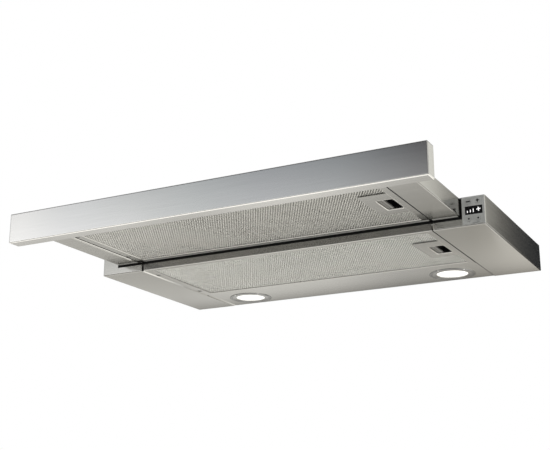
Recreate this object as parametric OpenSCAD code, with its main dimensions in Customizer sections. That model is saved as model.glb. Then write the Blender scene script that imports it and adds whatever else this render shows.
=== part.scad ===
// Pull-out range hood for a 600 mm wall cabinet, drawn with its drawer pulled out.
// X runs to the right, Y from the front to the wall and Z up. The parts are drawn from the middle of
// the canopy's front edge at its underside, and then hung from the centre of the four cabinet screws.

/* [Canopy] */
// Width of the canopy, for a 600 mm cabinet
canopy_w = 598; // [560:1:900]
// Depth of the canopy from its front to the wall
canopy_d = 277; // [270:1:330]
// Height of the canopy
canopy_h = 39; // [39:0.5:48]
// Thickness of the steel sheet
sheet = 0.8; // [0.7:0.1:1]
// Outer radius of the sheet's bends
bend_r = 1.8; // [1.5:0.1:2.5]
// Distance of the long underside seams from the middle
seam_x = 227.4; // [200:0.2:232]
// Width of the front face left of the drawer
left_cheek = 27; // [24:1:40]
// Width of the front face right of the drawer, which holds the controls
right_cheek = 31; // [31:1:40]
// Height of the strip below the drawer's slot
strip_h = 10; // [9.8:0.1:11]
// Depth of the large grease filter
filter_d = 187.4; // [180:0.2:195]
// Recess of the lamp panel in the underside
lamp_panel_recess = 1; // [0.5:0.1:2]

/* [Drawer] */
// How far the drawer pulls out
travel = 191.2; // [150:0.2:195]
// Running gap left when the drawer is shut, between its front and the canopy
shut_gap = 0.8; // [0.8:0.1:2]
// Gap between the drawer's sides and the slot
slot_gap = 1.8; // [1.6:0.1:3]
// Height of the drawer's underside above the canopy's underside
drawer_z = 13.4; // [13.2:0.1:14]
// Height of the drawer's steel front
front_h = 41; // [40:0.5:60]
// Thickness of the drawer's steel front
front_t = 19; // [12:0.5:30]
// Length of the drawer that stays in the canopy when it is pulled out
drawer_tail = 28; // [26:1:32]
// Width of the drawer's side channels, which hold the runners
runner_room = 34.8; // [34.4:0.1:38]
// Width of the drawer's underside on the right of its filter
drawer_right_band = 39.2; // [39:0.1:42]

/* [Filters] */
// Thickness of the filter frames
filter_t = 6.6; // [6:0.1:6.6]
// Width of the filter frames at the hinge side
filter_left_edge = 11; // [10:0.5:14]
// Width of the filter frames on the other sides
filter_edge = 9; // [8:0.5:12]
// Spacing of the diamond openings across the filter plate
mesh_dx = 17.8; // [14:0.2:26]
// Spacing of the diamond openings from front to back
mesh_dy = 31.8; // [26:0.2:44]
// Width of the metal between two diamond openings
mesh_land = 3.2; // [2:0.2:5]
// Length of the latch recess
latch_l = 41; // [36:1:46]
// Width of the latch recess
latch_w = 22.5; // [20:0.5:26]
// How far a latch slides back
latch_travel = 4.5; // [4:0.1:5]

/* [Lamps] */
// Distance between the lamp centres
lamp_pitch = 349; // [200:1:380]
// Diameter of the lamp rings
lamp_d = 69; // [60:1:74]
// Diameter of the lit lens
lens_d = 48; // [30:1:50]

/* [Controls] */
// Width of the display window
display_w = 23.2; // [18:0.2:24]
// Height of the display window
display_h = 11.2; // [8:0.2:12]
// Diameter of the keys
key_d = 6.4; // [5:0.2:7]
// Travel of the keys
key_travel = 0.6; // [0.3:0.1:0.7]

/* [Blower] */
// Width of the blower housing
housing_w = 250; // [230:1:290]
// Depth of the blower housing
housing_d = 244; // [240:1:250]
// Height of the blower housing
housing_h = 89; // [80:1:140]
// Diameter of the wheel
wheel_d = 112; // [90:1:114]
// Height of the wheel
wheel_h = 48; // [36:1:52]
// Number of the wheel's blades
blade_count = 36; // [24:1:40]
// Diameter of the motor
motor_d = 76; // [60:1:80]
// Wall of the moulded scroll
scroll_wall = 2; // [1.6:0.2:3]

/* [Duct and fixing] */
// Outer diameter of the duct collar
collar_d = 119; // [100:1:119]
// Height of the duct collar
collar_h = 35; // [32:1:60]
// Wall of the duct collar
collar_wall = 1.8; // [1.6:0.1:3]
// Thickness of the non-return flaps
flap_t = 1.2; // [1:0.1:1.6]
// Spacing of the cabinet screws across the hood
fix_dx = 380; // [340:1:400]
// Spacing of the cabinet screws from front to back
fix_dy = 130; // [100:1:140]
// Distance of the middle of the cabinet screws from the front
fix_y = 105; // [100:1:115]
// Diameter of the cabinet screw holes
fix_hole_d = 5.5; // [4.5:0.1:6.5]
// Height of the raised pads round the cabinet screw holes
pad_h = 3; // [2.5:0.5:4]
// Diameter of the mains cable that the gland takes
cable_d = 8.4; // [6:0.2:10]

/* [Hidden] */
$fn = 48;
// a cut is drawn this much longer than what it cuts
over = 1;
// a folded tray is drawn this much longer where it stays open
open_end = 40;

// canopy
half_w = canopy_w / 2;
slot_left = -half_w + left_cheek;
slot_right = half_w - right_cheek;
slot_mid = (slot_left + slot_right) / 2;
slot_w = slot_right - slot_left;
inner_r = bend_r - sheet;
plate_z = canopy_h - sheet;
rear_inner_y = canopy_d - sheet;
rear_overlap = 12;
plate_flange = 12;
seam_flange_h = 12;
sill_top = strip_h - 0.4;
sill_t = 1.6;
sill_y = [sheet + 0.2, sheet + 18.2];
seal_h = 3;
seal_depth = 5;
seal_side_t = slot_gap - 0.4;
cheek_return = 10;
seam_flange_y = sill_y[1] + 1;

// steel drawer
drawer_half = slot_w / 2 - slot_gap;
drawer_top = plate_z - 0.6;
front_back_y = -travel - shut_gap;
front_wall = 1;
rail_wall = drawer_half - runner_room;
left_seam = -rail_wall;
right_seam = drawer_half - drawer_right_band;
cover_z = drawer_top - sheet;

// runners, measured outwards from the drawer's inner side walls
rail_t = 1.2;
rail_gap = 0.3;
rail_z = [drawer_z + 2.1, drawer_z + 22.1];
rail_x = rail_wall + sheet;
rail_pack = 10;
bracket_flange = 16;
screw_r = 2;
screw_fit = 0.2;
screw_head_r = 3.6;
screw_head_h = 2.2;
front_screw_dx = 0.41 * drawer_half;
front_screw_z = (drawer_z + drawer_top) / 2;
rail_y0 = 12;
rail_y1 = canopy_d - 25;
middle_len = 220;
shut_rail_y1 = drawer_tail + travel;

// filters: the plan of each one, from its own corner nearest the hinge
canopy_filter_x = [-seam_x + 2, seam_x - 0.8];
canopy_filter_y = [0, filter_d];
canopy_filter_z = 0.4;
drawer_filter_x = [left_seam + 4.9, right_seam - 0.6];
drawer_filter_y = [front_back_y + sheet + 0.8, -1.2];
drawer_filter_z = drawer_z + 0.2;
canopy_latch_y = filter_d / 2 + 1.3;
drawer_latch_y = (drawer_filter_y[0] + drawer_filter_y[1]) / 2 + 6.6;
hinge_pitch = 120;
hinge_notch = [6.5, 7];
hinge_ear_l = 4;
hinge_in = 2.8;
pin_r = 1.2;
ear_r = 2.3;
run_gap = 0.05;
frame_sheet = 0.8;
frame_r = 1.2;
patch_l = 81;
patch_shift = -3.3;
patch_w = 38;
window_flange = 2.2;
window_r = 2;
cup_h = 12;
cup_wall = 1;
cup_hidden = 6.5;
cup_clear = 0.9;
latch_bar_h = 1.4;
latch_bar_z = 9;
latch_bar_w = 18;
mesh_t = 4.6;
mesh_margin = 2;
pad_w = 9.5;
pad_z = window_flange + 0.6;
groove = 1.2;
groove_pitch = 2.6;

// lamps
lamp_y = (filter_d + canopy_d) / 2 + 5.3;
lamp_hole_r = 29;
ring_t = 1.4;
lamp_h = 12;
panel_under = lamp_panel_recess;

// controls
panel_x = [slot_right + 3.4, half_w - 2.4];
panel_z = [1.8, canopy_h - 1.8];
panel_fit = 0.2;
panel_face_y = 0.2;
panel_back_y = 2.4;
window_t = 1.2;
key_x = [slot_right + 9, slot_right + 21.4];
key_z = [9.2, 32];
display_mid = [(panel_x[0] + panel_x[1]) / 2, 20.5];
board_y = 7;
board_t = 1.6;
tact_h = 1.4;
key_proud = 0.2;
key_collar_y = panel_back_y + 0.2;

// blower
wheel_x = -12;
wheel_y = 98;
housing_y = 18;
housing_x = -housing_w / 2;
scroll_z0 = canopy_h;
scroll_split = canopy_h + housing_h / 2;
scroll_z1 = canopy_h + housing_h - 6;
wheel_r = wheel_d / 2;
wheel_z = scroll_z0 + scroll_wall + 4;
tongue_angle = 135;
scroll_start = wheel_r + 4;
scroll_growth = 0.12;
collar_y = 192;
collar_z = canopy_h + housing_h;
collar_r = collar_d / 2;
collar_flange = 8;
chamber_r = collar_r + 3;
outlet_r = collar_r - 4;
inlet_r = wheel_r - 8;
shaft_r = 4;
hub_r = 10;
hub_h = 12;
disc_t = 2;
motor_boss_r = 14;
motor_gap = 3;

// flaps
flap_rod_r = 1.5;
flap_rod_z = collar_z + 9;
flap_r = collar_r - collar_wall - 2.2;
knuckle_r = 3;
flap_root = knuckle_r + 0.6;
seat_r = flap_r - 3;
seat_t = 1.5;
seat_gap = 0.3;

// drawer switch
switch_x = housing_w / 2 + 5;
switch_y = shut_rail_y1 + 4.8;
lever_y = shut_rail_y1 + 1.2;
lever_pivot_z = plate_z - 3;

module hung() {
    translate([0, -fix_y, -canopy_h - pad_h]) children();
}

module round_rect(size, r) {
    translate([r, 0]) square([size[0] - 2 * r, size[1]]);
    translate([0, r]) square([size[0], size[1] - 2 * r]);
    for (x = [r, size[0] - r], y = [r, size[1] - r]) translate([x, y]) circle(r);
}

// a block from lo to hi
module block(lo, hi) {
    translate(lo) cube(hi - lo);
}

// a block whose twelve edges are rounded, as a folded tray is
module soft_block(lo, hi, r) {
    s = hi - lo;
    translate(lo) intersection() {
        linear_extrude(s[2]) round_rect([s[0], s[1]], r);
        translate([0, s[1], 0]) rotate([90, 0, 0]) linear_extrude(s[1]) round_rect([s[0], s[2]], r);
        rotate([90, 0, 90]) linear_extrude(s[0]) round_rect([s[1], s[2]], r);
    }
}

// a tray of even sheet between lo and hi, closed all round
module folded_tray(lo, hi, r, t) {
    difference() {
        soft_block(lo, hi, r);
        soft_block(lo + [t, t, t], hi - [t, t, t], r - t);
    }
}

module along_y(y0, y1) {
    translate([0, y1, 0]) rotate([90, 0, 0]) linear_extrude(y1 - y0) children();
}

// Side panel of the canopy, drawn on the right: underside band folded up along its seam, outer wall,
// front cheek and rear wall
module side_panel(cheek, is_right) {
    slot_x = half_w - cheek;
    difference() {
        union() {
            intersection() {
                folded_tray([seam_x, 0, 0], [half_w, canopy_d, canopy_h + open_end], bend_r, sheet);
                block([seam_x, 0, 0], [half_w, canopy_d, canopy_h]);
            }
            // return of the cheek along the slot
            block([slot_x, sheet, strip_h], [slot_x + sheet, cheek_return, plate_z]);
            if (!is_right) mirror([1, 0, 0]) canopy_hinge_ears();
        }
        block([seam_x - over, -over, strip_h], [slot_x, sheet, canopy_h + over]);
        // the fold along the seam stands up beside the filter, and ends low by the sill and the rear panel
        block([seam_x - over, sheet, bend_r], [seam_x + bend_r, seam_flange_y, canopy_h + over]);
        block([seam_x - over, -over, seam_flange_h], [seam_x + bend_r, canopy_d + over, canopy_h + over]);
        block([seam_x - over, rear_inner_y - sheet, bend_r],
              [seam_x + bend_r, canopy_d + over, canopy_h + over]);
        if (is_right) {
            translate([panel_x[0], sheet + over, panel_z[0]]) rotate([90, 0, 0])
                linear_extrude(sheet + 2 * over)
                    round_rect([panel_x[1] - panel_x[0], panel_z[1] - panel_z[0]], 1.5);
            // way through for the latch bolt
            block([seam_x - over, canopy_latch_y - latch_bar_w / 2 - 1,
                   canopy_filter_z + latch_bar_z - 0.4],
                  [seam_x + sheet + over, canopy_latch_y + latch_bar_w / 2 + 1,
                   canopy_filter_z + latch_bar_z + latch_bar_h + 0.4]);
        }
    }
}

module left_side_panel() hung() color([0.72, 0.71, 0.68]) {
    mirror([1, 0, 0]) side_panel(left_cheek, false);
}

module right_side_panel() hung() color([0.72, 0.71, 0.68]) {
    side_panel(right_cheek, true);
}

module rear_panel() hung() color([0.66, 0.66, 0.65]) {
    block([-seam_x + 0.2, rear_inner_y - sheet, sheet], [seam_x - 0.2, rear_inner_y, plate_z]);
    block([-seam_x - rear_overlap, rear_inner_y - sheet, bend_r],
          [seam_x + rear_overlap, rear_inner_y, plate_z]);
}

function fix_points() = [for (x = [-1, 1], y = [-1, 1]) [x * fix_dx / 2, fix_y + y * fix_dy / 2]];

// Top plate with turned-down edges, the fan inlet and four raised pads for the cabinet screws
module top_plate() hung() color([0.74, 0.75, 0.76]) {
    edge_y = rear_inner_y - sheet - plate_flange;
    difference() {
        union() {
            translate([-half_w + sheet, sheet, plate_z]) linear_extrude(sheet)
                round_rect([canopy_w - 2 * sheet, rear_inner_y - sheet], inner_r);
            for (m = [0, 1]) mirror([m, 0, 0])
                block([half_w - 2 * sheet, 12, plate_z - plate_flange], [half_w - sheet, edge_y, plate_z]);
            block([-seam_x, rear_inner_y - 2 * sheet, plate_z - plate_flange],
                  [seam_x, rear_inner_y - sheet, plate_z]);
            for (p = fix_points()) translate([p[0], p[1], plate_z]) cylinder(r = 11, h = sheet + pad_h);
        }
        for (p = fix_points()) translate([p[0], p[1], 0]) {
            translate([0, 0, plate_z - over]) cylinder(r = 11 - sheet, h = pad_h + over);
            translate([0, 0, plate_z]) cylinder(d = fix_hole_d, h = pad_h + sheet + over);
        }
        translate([wheel_x, wheel_y, plate_z - over]) cylinder(r = inlet_r + 4, h = sheet + 2 * over);
    }
}

// Strip behind the filter that carries the two lamps
module lamp_panel() hung() color([0.72, 0.71, 0.68]) {
    y0 = filter_d + 0.6;
    y1 = rear_inner_y - sheet;
    x1 = seam_x - 0.6;
    difference() {
        union() {
            block([-x1, y0, panel_under], [x1, y1, panel_under + sheet]);
            block([-x1, y0, panel_under], [x1, y0 + sheet, seam_flange_h]);
            block([-x1, y1 - sheet, panel_under], [x1, y1, seam_flange_h]);
        }
        for (s = [-1, 1]) translate([s * lamp_pitch / 2, lamp_y, panel_under - over])
            cylinder(r = lamp_hole_r, h = sheet + 2 * over);
    }
}

// Flat bar under the slot, which stands on the side panels and stiffens the front
module slot_sill() hung() color([0.6, 0.6, 0.6]) {
    leg = 1.6;
    block([slot_left, sill_y[0], sill_top - sill_t], [slot_right, sill_y[1], sill_top]);
    block([slot_left, sill_y[1] - sill_t, sill_top], [slot_right, sill_y[1], drawer_z - 0.8]);
    for (x = [slot_left + 1, slot_right - 1 - leg])
        block([x, sill_y[0] + 1, sheet], [x + leg, sill_y[1], sill_top - sill_t]);
}

module slot_seal() hung() color([0.03, 0.03, 0.03]) {
    y0 = sill_y[0];
    z1 = sill_top + seal_h;
    block([slot_left, y0, sill_top], [slot_right, y0 + seal_depth, z1]);
    for (x = [slot_left, slot_right - seal_side_t])
        block([x, y0, z1], [x + seal_side_t, y0 + seal_depth, plate_z]);
}

// Lamp ring: a dished flange under the panel and a short barrel above it
module lamp_ring(side) hung() color([0.78, 0.78, 0.77]) {
    r = lamp_d / 2;
    lens_r = lens_d / 2;
    barrel_r = lamp_hole_r - 0.4;
    z0 = panel_under - ring_t;
    translate([side * lamp_pitch / 2, lamp_y, 0]) rotate_extrude() polygon([
        [r, panel_under], [r, z0 + 0.6], [r - 0.8, z0], [lens_r + 3, z0], [lens_r, z0 + 1.4],
        [lens_r, z0 + 2.4], [lens_r + 2.4, z0 + 2.4], [lens_r + 2.4, lamp_h - 2], [barrel_r, lamp_h - 2],
        [barrel_r, panel_under]
    ]);
}

module left_lamp_ring() lamp_ring(-1);
module right_lamp_ring() lamp_ring(1);

module lamp_lens(side) hung() color([0.98, 0.98, 0.95]) {
    z0 = panel_under - ring_t + 2.4;
    translate([side * lamp_pitch / 2, lamp_y, z0]) cylinder(r = lens_d / 2 + 2.2, h = 2);
}

module left_lamp_lens() lamp_lens(-1);
module right_lamp_lens() lamp_lens(1);

// Lamp module: light plate and a ribbed heat sink, clipped in the ring
module lamp_module(side) hung() color([0.2, 0.2, 0.21]) {
    z0 = panel_under - ring_t + 4.4;
    r = lens_d / 2 + 2.2;
    translate([side * lamp_pitch / 2, lamp_y, z0]) difference() {
        cylinder(r = r, h = lamp_h - z0);
        for (i = [-3 : 3]) block([-r, i * 6 - 1.5, 3.4], [r, i * 6 + 1.5, lamp_h]);
    }
}

module left_lamp_module() lamp_module(-1);
module right_lamp_module() lamp_module(1);

// Control face plate, pushed into the right cheek from behind
module control_panel() hung() color([0.6, 0.6, 0.58]) {
    difference() {
        union() {
            translate([panel_x[0] + panel_fit, panel_back_y, panel_z[0] + panel_fit]) rotate([90, 0, 0])
                linear_extrude(panel_back_y - panel_face_y)
                    round_rect([panel_x[1] - panel_x[0] - 2 * panel_fit,
                                panel_z[1] - panel_z[0] - 2 * panel_fit], 1.4);
            block([panel_x[0] - 1.4, sheet, panel_z[0] + 0.1],
                  [panel_x[1] + 0.6, panel_back_y, plate_z - 0.2]);
            for (x = [panel_x[0] + 0.6, panel_x[1] - 2.6], z = [3, plate_z - 3])
                block([x, panel_back_y, z], [x + 2, board_y, z + 2]);
        }
        block([display_mid[0] - display_w / 2, -over, display_mid[1] - display_h / 2],
              [display_mid[0] + display_w / 2, panel_face_y + window_t, display_mid[1] + display_h / 2]);
        block([display_mid[0] - display_w / 2 + 2, -over, display_mid[1] - display_h / 2 + 2],
              [display_mid[0] + display_w / 2 - 2, 3, display_mid[1] + display_h / 2 - 2]);
        for (x = key_x, z = key_z) translate([x, 3, z]) rotate([90, 0, 0])
            cylinder(d = key_d + 0.5, h = 3 + over);
    }
}

module display_window() hung() color([0.02, 0.02, 0.02]) {
    block([display_mid[0] - display_w / 2, panel_face_y, display_mid[1] - display_h / 2],
          [display_mid[0] + display_w / 2, panel_face_y + window_t, display_mid[1] + display_h / 2]);
}

// Push key: round cap, collar behind the face plate and a stem to its switch
module key(x, z) hung() color([0.5, 0.5, 0.48]) {
    translate([x, 0, z]) rotate([-90, 0, 0]) {
        translate([0, 0, -key_proud]) cylinder(d = key_d, h = key_collar_y + key_proud);
        translate([0, 0, key_collar_y]) cylinder(d = key_d + 1.6, h = 0.8);
        translate([0, 0, key_collar_y + 0.8])
            cylinder(r = 1.2, h = board_y - tact_h - key_travel - 0.2 - key_collar_y - 0.8);
    }
}

module upper_left_key() key(key_x[0], key_z[1]);
module upper_right_key() key(key_x[1], key_z[1]);
module lower_left_key() key(key_x[0], key_z[0]);
module lower_right_key() key(key_x[1], key_z[0]);

module control_board() hung() color([0.1, 0.3, 0.16]) {
    block([panel_x[0], board_y, 3], [panel_x[1], board_y + board_t, plate_z - 2]);
    for (x = key_x, z = key_z) block([x - 3, board_y - tact_h, z - 3], [x + 3, board_y, z + 3]);
    block([panel_x[0] + 3, board_y + board_t, 12], [panel_x[0] + 15, board_y + board_t + 9, 28]);
}

// Drawer switch under the top plate, behind the shut drawer
module drawer_switch() hung() color([0.12, 0.12, 0.13]) {
    difference() {
        union() {
            block([switch_x - 14, switch_y, plate_z - 14], [switch_x + 14, switch_y + 10, plate_z]);
            for (x = [switch_x - 5, switch_x + 4])
                block([x, lever_y, lever_pivot_z - 1.8], [x + 1, switch_y, plate_z]);
        }
        translate([switch_x - 6, lever_y + 1.6, lever_pivot_z]) rotate([0, 90, 0])
            cylinder(r = 0.8 + run_gap, h = 12);
    }
}

module switch_lever() hung() color([0.75, 0.75, 0.76]) {
    block([switch_x - 3.7, lever_y, lever_pivot_z - 14], [switch_x + 3.7, lever_y + 0.6, lever_pivot_z]);
    translate([switch_x - 3.7, lever_y + 1.6, lever_pivot_z]) rotate([0, 90, 0]) cylinder(r = 1.6, h = 7.4);
    translate([switch_x - 4.9, lever_y + 1.6, lever_pivot_z]) rotate([0, 90, 0]) cylinder(r = 0.8, h = 9.8);
}

// everything of the drawer is drawn from the middle of its slot
module drawer_side(side) {
    translate([slot_mid, 0, 0]) mirror([side < 0 ? 1 : 0, 0, 0]) children();
}

// Bracket that hangs the fixed rail from the top plate
module runner_bracket(side) hung() color([0.7, 0.71, 0.72]) drawer_side(side) {
    x0 = rail_x + rail_pack;
    block([x0, rail_y0, rail_z[0]], [x0 + rail_t, rail_y1, plate_z]);
    block([x0 + rail_t, rail_y0, plate_z - rail_t], [x0 + bracket_flange, rail_y1, plate_z]);
}

module left_runner_bracket() runner_bracket(-1);
module right_runner_bracket() runner_bracket(1);

// Channel rail: a web and two flanges that reach inwards (-1) or outwards (1)
module channel_rail(web_x, reach, z0, z1, y0, y1) {
    block([web_x, y0, z0], [web_x + rail_t, y1, z1]);
    x0 = reach < 0 ? web_x + reach : web_x + rail_t;
    x1 = reach < 0 ? web_x : web_x + rail_t + reach;
    for (z = [z0, z1 - rail_t]) block([x0, y0, z], [x1, y1, z + rail_t]);
}

module fixed_rail(side) hung() color([0.75, 0.75, 0.76]) drawer_side(side) {
    channel_rail(rail_x + rail_pack - rail_t, -7, rail_z[0], rail_z[1], rail_y0, rail_y1);
}

module left_fixed_rail() fixed_rail(-1);
module right_fixed_rail() fixed_rail(1);

module middle_rail(side) hung() color([0.68, 0.68, 0.69]) drawer_side(side) {
    in = rail_t + rail_gap;
    y0 = rail_y0 + 2 - travel / 2;
    channel_rail(rail_x + rail_pack - 2 * rail_t - rail_gap, -5, rail_z[0] + in, rail_z[1] - in,
                 y0, y0 + middle_len);
}

module left_middle_rail() middle_rail(-1);
module right_middle_rail() middle_rail(1);

module drawer_rail(side) hung() color([0.75, 0.75, 0.76]) drawer_side(side) {
    in = 2 * (rail_t + rail_gap);
    channel_rail(rail_x, 4.4, rail_z[0] + in, rail_z[1] - in, rail_y0 - travel, drawer_tail);
}

module left_drawer_rail() drawer_rail(-1);
module right_drawer_rail() drawer_rail(1);

// One side of the drawer: a folded channel with its inner wall, open at the top and at the back. Where
// the band is as wide as the channel, it folds up into the inner wall, and otherwise it runs on past it.
module drawer_side_box(side, band) drawer_side(side) {
    seam = drawer_half - band;
    wide = seam < rail_wall;
    difference() {
        intersection() {
            folded_tray([wide ? seam - open_end : rail_wall, front_back_y, drawer_z],
                        [drawer_half, drawer_tail + open_end, drawer_top + open_end], bend_r, sheet);
            block([seam, front_back_y, drawer_z], [drawer_half, drawer_tail, drawer_top]);
        }
        // room for the cover sheet
        block([rail_wall - over, front_back_y + sheet, cover_z],
              [rail_wall + sheet, drawer_tail + over, drawer_top + over]);
    }
    if (wide) {
        block([rail_wall, front_back_y + sheet, drawer_z + sheet],
              [rail_wall + sheet, drawer_tail, cover_z]);
    }
}

// Drawer frame: two side channels, a front wall and a low rear beam, with ears and keeper for its filter
module drawer_frame() hung() color([0.72, 0.71, 0.67]) {
    keeper_y = drawer_latch_y;
    keeper_z = drawer_filter_z + latch_bar_z - 1.6;
    drawer_side_box(1, drawer_right_band);
    drawer_side_box(-1, runner_room);
    translate([slot_mid, 0, 0]) {
        difference() {
            block([left_seam - bend_r, front_back_y, drawer_z], [right_seam, front_back_y + sheet, cover_z]);
            front_screw_row(front_back_y - over, 3, screw_r + screw_fit);
        }
        block([left_seam - bend_r, 0, drawer_z], [right_seam, drawer_tail, drawer_z + sheet]);
        block([-rail_wall, drawer_tail - sheet, drawer_z + sheet], [rail_wall, drawer_tail, drawer_z + 7]);
        block([right_seam + 0.4, keeper_y - 10, keeper_z], [rail_wall, keeper_y + 10, keeper_z + 1.2]);
        drawer_hinge_ears();
    }
}

module drawer_cover() hung() color([0.7, 0.7, 0.69]) {
    x1 = rail_wall + sheet;
    block([slot_mid - x1, front_back_y + sheet, cover_z], [slot_mid + x1, drawer_tail, drawer_top]);
    block([slot_mid + left_seam, front_back_y, cover_z],
          [slot_mid + right_seam, front_back_y + sheet, drawer_top]);
}

// Steel front of the drawer: a folded shell, open at the back
module drawer_front() hung() color([0.8, 0.81, 0.81]) {
    lo = [-half_w, front_back_y - front_t, 0];
    w = front_wall;
    past = 12;
    difference() {
        soft_block(lo, [half_w, front_back_y + past - 2, front_h], bend_r);
        soft_block(lo + [w, w, w], [half_w - w, front_back_y + past, front_h - w], bend_r - w);
        block(lo + [-over, front_t, -over], [half_w + over, front_back_y + past, front_h + over]);
    }
}

module drawer_front_plate() hung() color([0.66, 0.66, 0.65]) {
    fit = front_wall + 0.3;
    t = 1.2;
    y1 = front_back_y;
    y0 = y1 - 0.6 * front_t;
    difference() {
        block([-half_w + fit, y1 - t, fit], [half_w - fit, y1, front_h - fit]);
        translate([slot_mid, 0, 0]) front_screw_row(y1 - 2, 3, screw_r + screw_fit);
    }
    for (x = [-half_w + fit + 1, half_w - fit - t - 1])
        block([x, y0, fit + 1], [x + t, y1 - t, front_h - fit - 1]);
    for (z = [fit, front_h - fit - t])
        block([-half_w + fit + 1, y0, z], [half_w - fit - 1, y1 - t, z + t]);
}

// four round bars along Y on the screws that hold the front, from y0 over a length
module front_screw_row(y0, l, r) {
    for (k = [-1.5, -0.5, 0.5, 1.5]) translate([k * front_screw_dx, y0, front_screw_z]) rotate([-90, 0, 0])
        cylinder(r = r, h = l);
}

module front_screws() hung() color([0.75, 0.75, 0.76]) translate([slot_mid, 0, 0]) {
    front_screw_row(front_back_y + sheet, 2, screw_head_r);
    front_screw_row(front_back_y - 4, 4 + sheet, screw_r);
}

function hinge_y(span) = [for (k = [-1, 1]) (span[0] + span[1]) / 2 + k * hinge_pitch / 2];

// Ear that a filter's hinge pin turns in, from a wall at x0
module hinge_ear(x0, pin_x, pin_z, y) {
    root = sheet / 2;
    translate([0, y + hinge_ear_l / 2, 0]) rotate([90, 0, 0]) linear_extrude(hinge_ear_l) difference() {
        union() {
            translate([pin_x, pin_z]) circle(ear_r);
            translate([x0 - root, pin_z - 1.4]) square([pin_x - x0 + root, 2.8]);
        }
        translate([pin_x, pin_z]) circle(pin_r + run_gap);
    }
}

module canopy_hinge_ears() {
    for (y = hinge_y(canopy_filter_y))
        hinge_ear(-seam_x, canopy_filter_x[0] + hinge_in, canopy_filter_z + hinge_in, y);
}

module drawer_hinge_ears() {
    for (y = hinge_y(drawer_filter_y))
        hinge_ear(-rail_wall, drawer_filter_x[0] + hinge_in, drawer_filter_z + hinge_in, y);
}

// plan of the filter's open field, inside its frame
function field_x(x) = [x[0] + filter_left_edge, x[1] - filter_edge];
function field_y(y) = [y[0] + filter_edge, y[1] - filter_edge];

// window of the latch recess, near the filter's free edge
function window_x(x) = [x[1] - filter_edge - 1 - latch_w, x[1] - filter_edge - 1];

// Filter frame: a C-shaped border, a plain patch round the latch window, hinge notches with their pins
module filter_frame(x, y, z, mid, lip) {
    fx = field_x(x);
    fy = field_y(y);
    wx = window_x(x);
    t = frame_sheet;
    cup_half = latch_l / 2 + cup_clear + cup_wall + 0.2;
    difference() {
        block([x[0], y[0], z], [x[1], y[1], z + filter_t]);
        block([fx[0], fy[0], z - over], [fx[1], fy[1], z + filter_t + over]);
        block([x[0] + t, y[0] + t, z + t], [x[1] - t, y[1] - t, z + filter_t - t]);
        for (hy = hinge_y(y))
            block([x[0] - over, hy - hinge_notch[1] / 2, z - over],
                  [x[0] + hinge_notch[0], hy + hinge_notch[1] / 2, z + filter_t + over]);
        block([fx[1] - over, mid - cup_half, z + t],
              [wx[1] + cup_clear + cup_wall + 0.1, mid + cup_half, z + filter_t + over]);
        front_edge_cut(x, y[0], z);
    }
    for (hy = hinge_y(y)) {
        for (s = [-1, 1]) translate([0, hy + s * (hinge_notch[1] / 2 + 2), 0])
            block([x[0] + t, -2, z + t], [x[0] + hinge_notch[0], 2, z + filter_t - t]);
        translate([x[0] + hinge_in, hy + hinge_notch[1] / 2 + 1, z + hinge_in]) rotate([90, 0, 0])
            cylinder(r = pin_r, h = hinge_notch[1] + 2);
    }
    // plain patch with a flanged window for the latch
    difference() {
        union() {
            translate([fx[1] - patch_w, mid + patch_shift - patch_l / 2, z]) linear_extrude(t)
                round_rect([patch_w + t, patch_l], window_r + t);
            translate([wx[0] - t, mid - latch_l / 2 - t, z]) linear_extrude(window_flange)
                round_rect([latch_w + 2 * t, latch_l + 2 * t], window_r + t);
        }
        translate([wx[0], mid - latch_l / 2, z - over]) linear_extrude(window_flange + 2 * over)
            round_rect([latch_w, latch_l], window_r);
    }
    if (lip > 0) difference() {
        block([x[0], y[0], z], [x[1], y[0] + sheet, z + lip]);
        front_edge_cut(x, y[0], z);
    }
}

// what is cut away to round a frame's lower front edge
module front_edge_cut(x, y, z) {
    translate([x[0] - over, y, z]) rotate([90, 0, 90]) linear_extrude(x[1] - x[0] + 2 * over) difference() {
        translate([-over, -over]) square(frame_r + over);
        translate([frame_r, frame_r]) circle(frame_r);
    }
}

module drawer_filter_frame() hung() color([0.68, 0.67, 0.64]) {
    translate([slot_mid, 0, 0])
        filter_frame(drawer_filter_x, drawer_filter_y, drawer_filter_z, drawer_latch_y, 0);
}

module canopy_filter_frame() hung() color([0.68, 0.67, 0.64]) {
    filter_frame(canopy_filter_x, canopy_filter_y, canopy_filter_z, canopy_latch_y,
                 strip_h - canopy_filter_z);
}

// Filter plate with diamond openings, every second row shifted, cut away round the latch
module filter_mesh(x, y, z, mid) {
    mx = field_x(x);
    my = field_y(y);
    seat = 3;
    patch_y = mid + patch_shift;
    nx = floor((mx[1] - mx[0] - 2 * mesh_margin) / mesh_dx);
    ny = floor((my[1] - my[0] - 2 * mesh_margin) / mesh_dy * 2 - 1);
    patch_x = mx[1] - patch_w;
    room = mesh_land / 2 + mesh_margin;
    translate([0, 0, z + frame_sheet]) linear_extrude(mesh_t) difference() {
        translate([mx[0] - seat, my[0] - seat])
            square([mx[1] - mx[0] + 2 * seat, my[1] - my[0] + 2 * seat]);
        translate([patch_x, patch_y - patch_l / 2]) square([patch_w + 2 * seat, patch_l]);
        for (j = [0 : ny - 1], i = [0 : nx - 1 - j % 2]) {
            cx = (mx[0] + mx[1]) / 2 + (i - (nx - 1 - j % 2) / 2) * mesh_dx;
            cy = (my[0] + my[1]) / 2 + (j - (ny - 1) / 2) * mesh_dy / 2;
            near_patch = cx + mesh_dx / 2 + room > patch_x
                && abs(cy - patch_y) < (mesh_dy + patch_l) / 2 + room;
            if (!near_patch) translate([cx, cy]) diamond();
        }
    }
}

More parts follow.
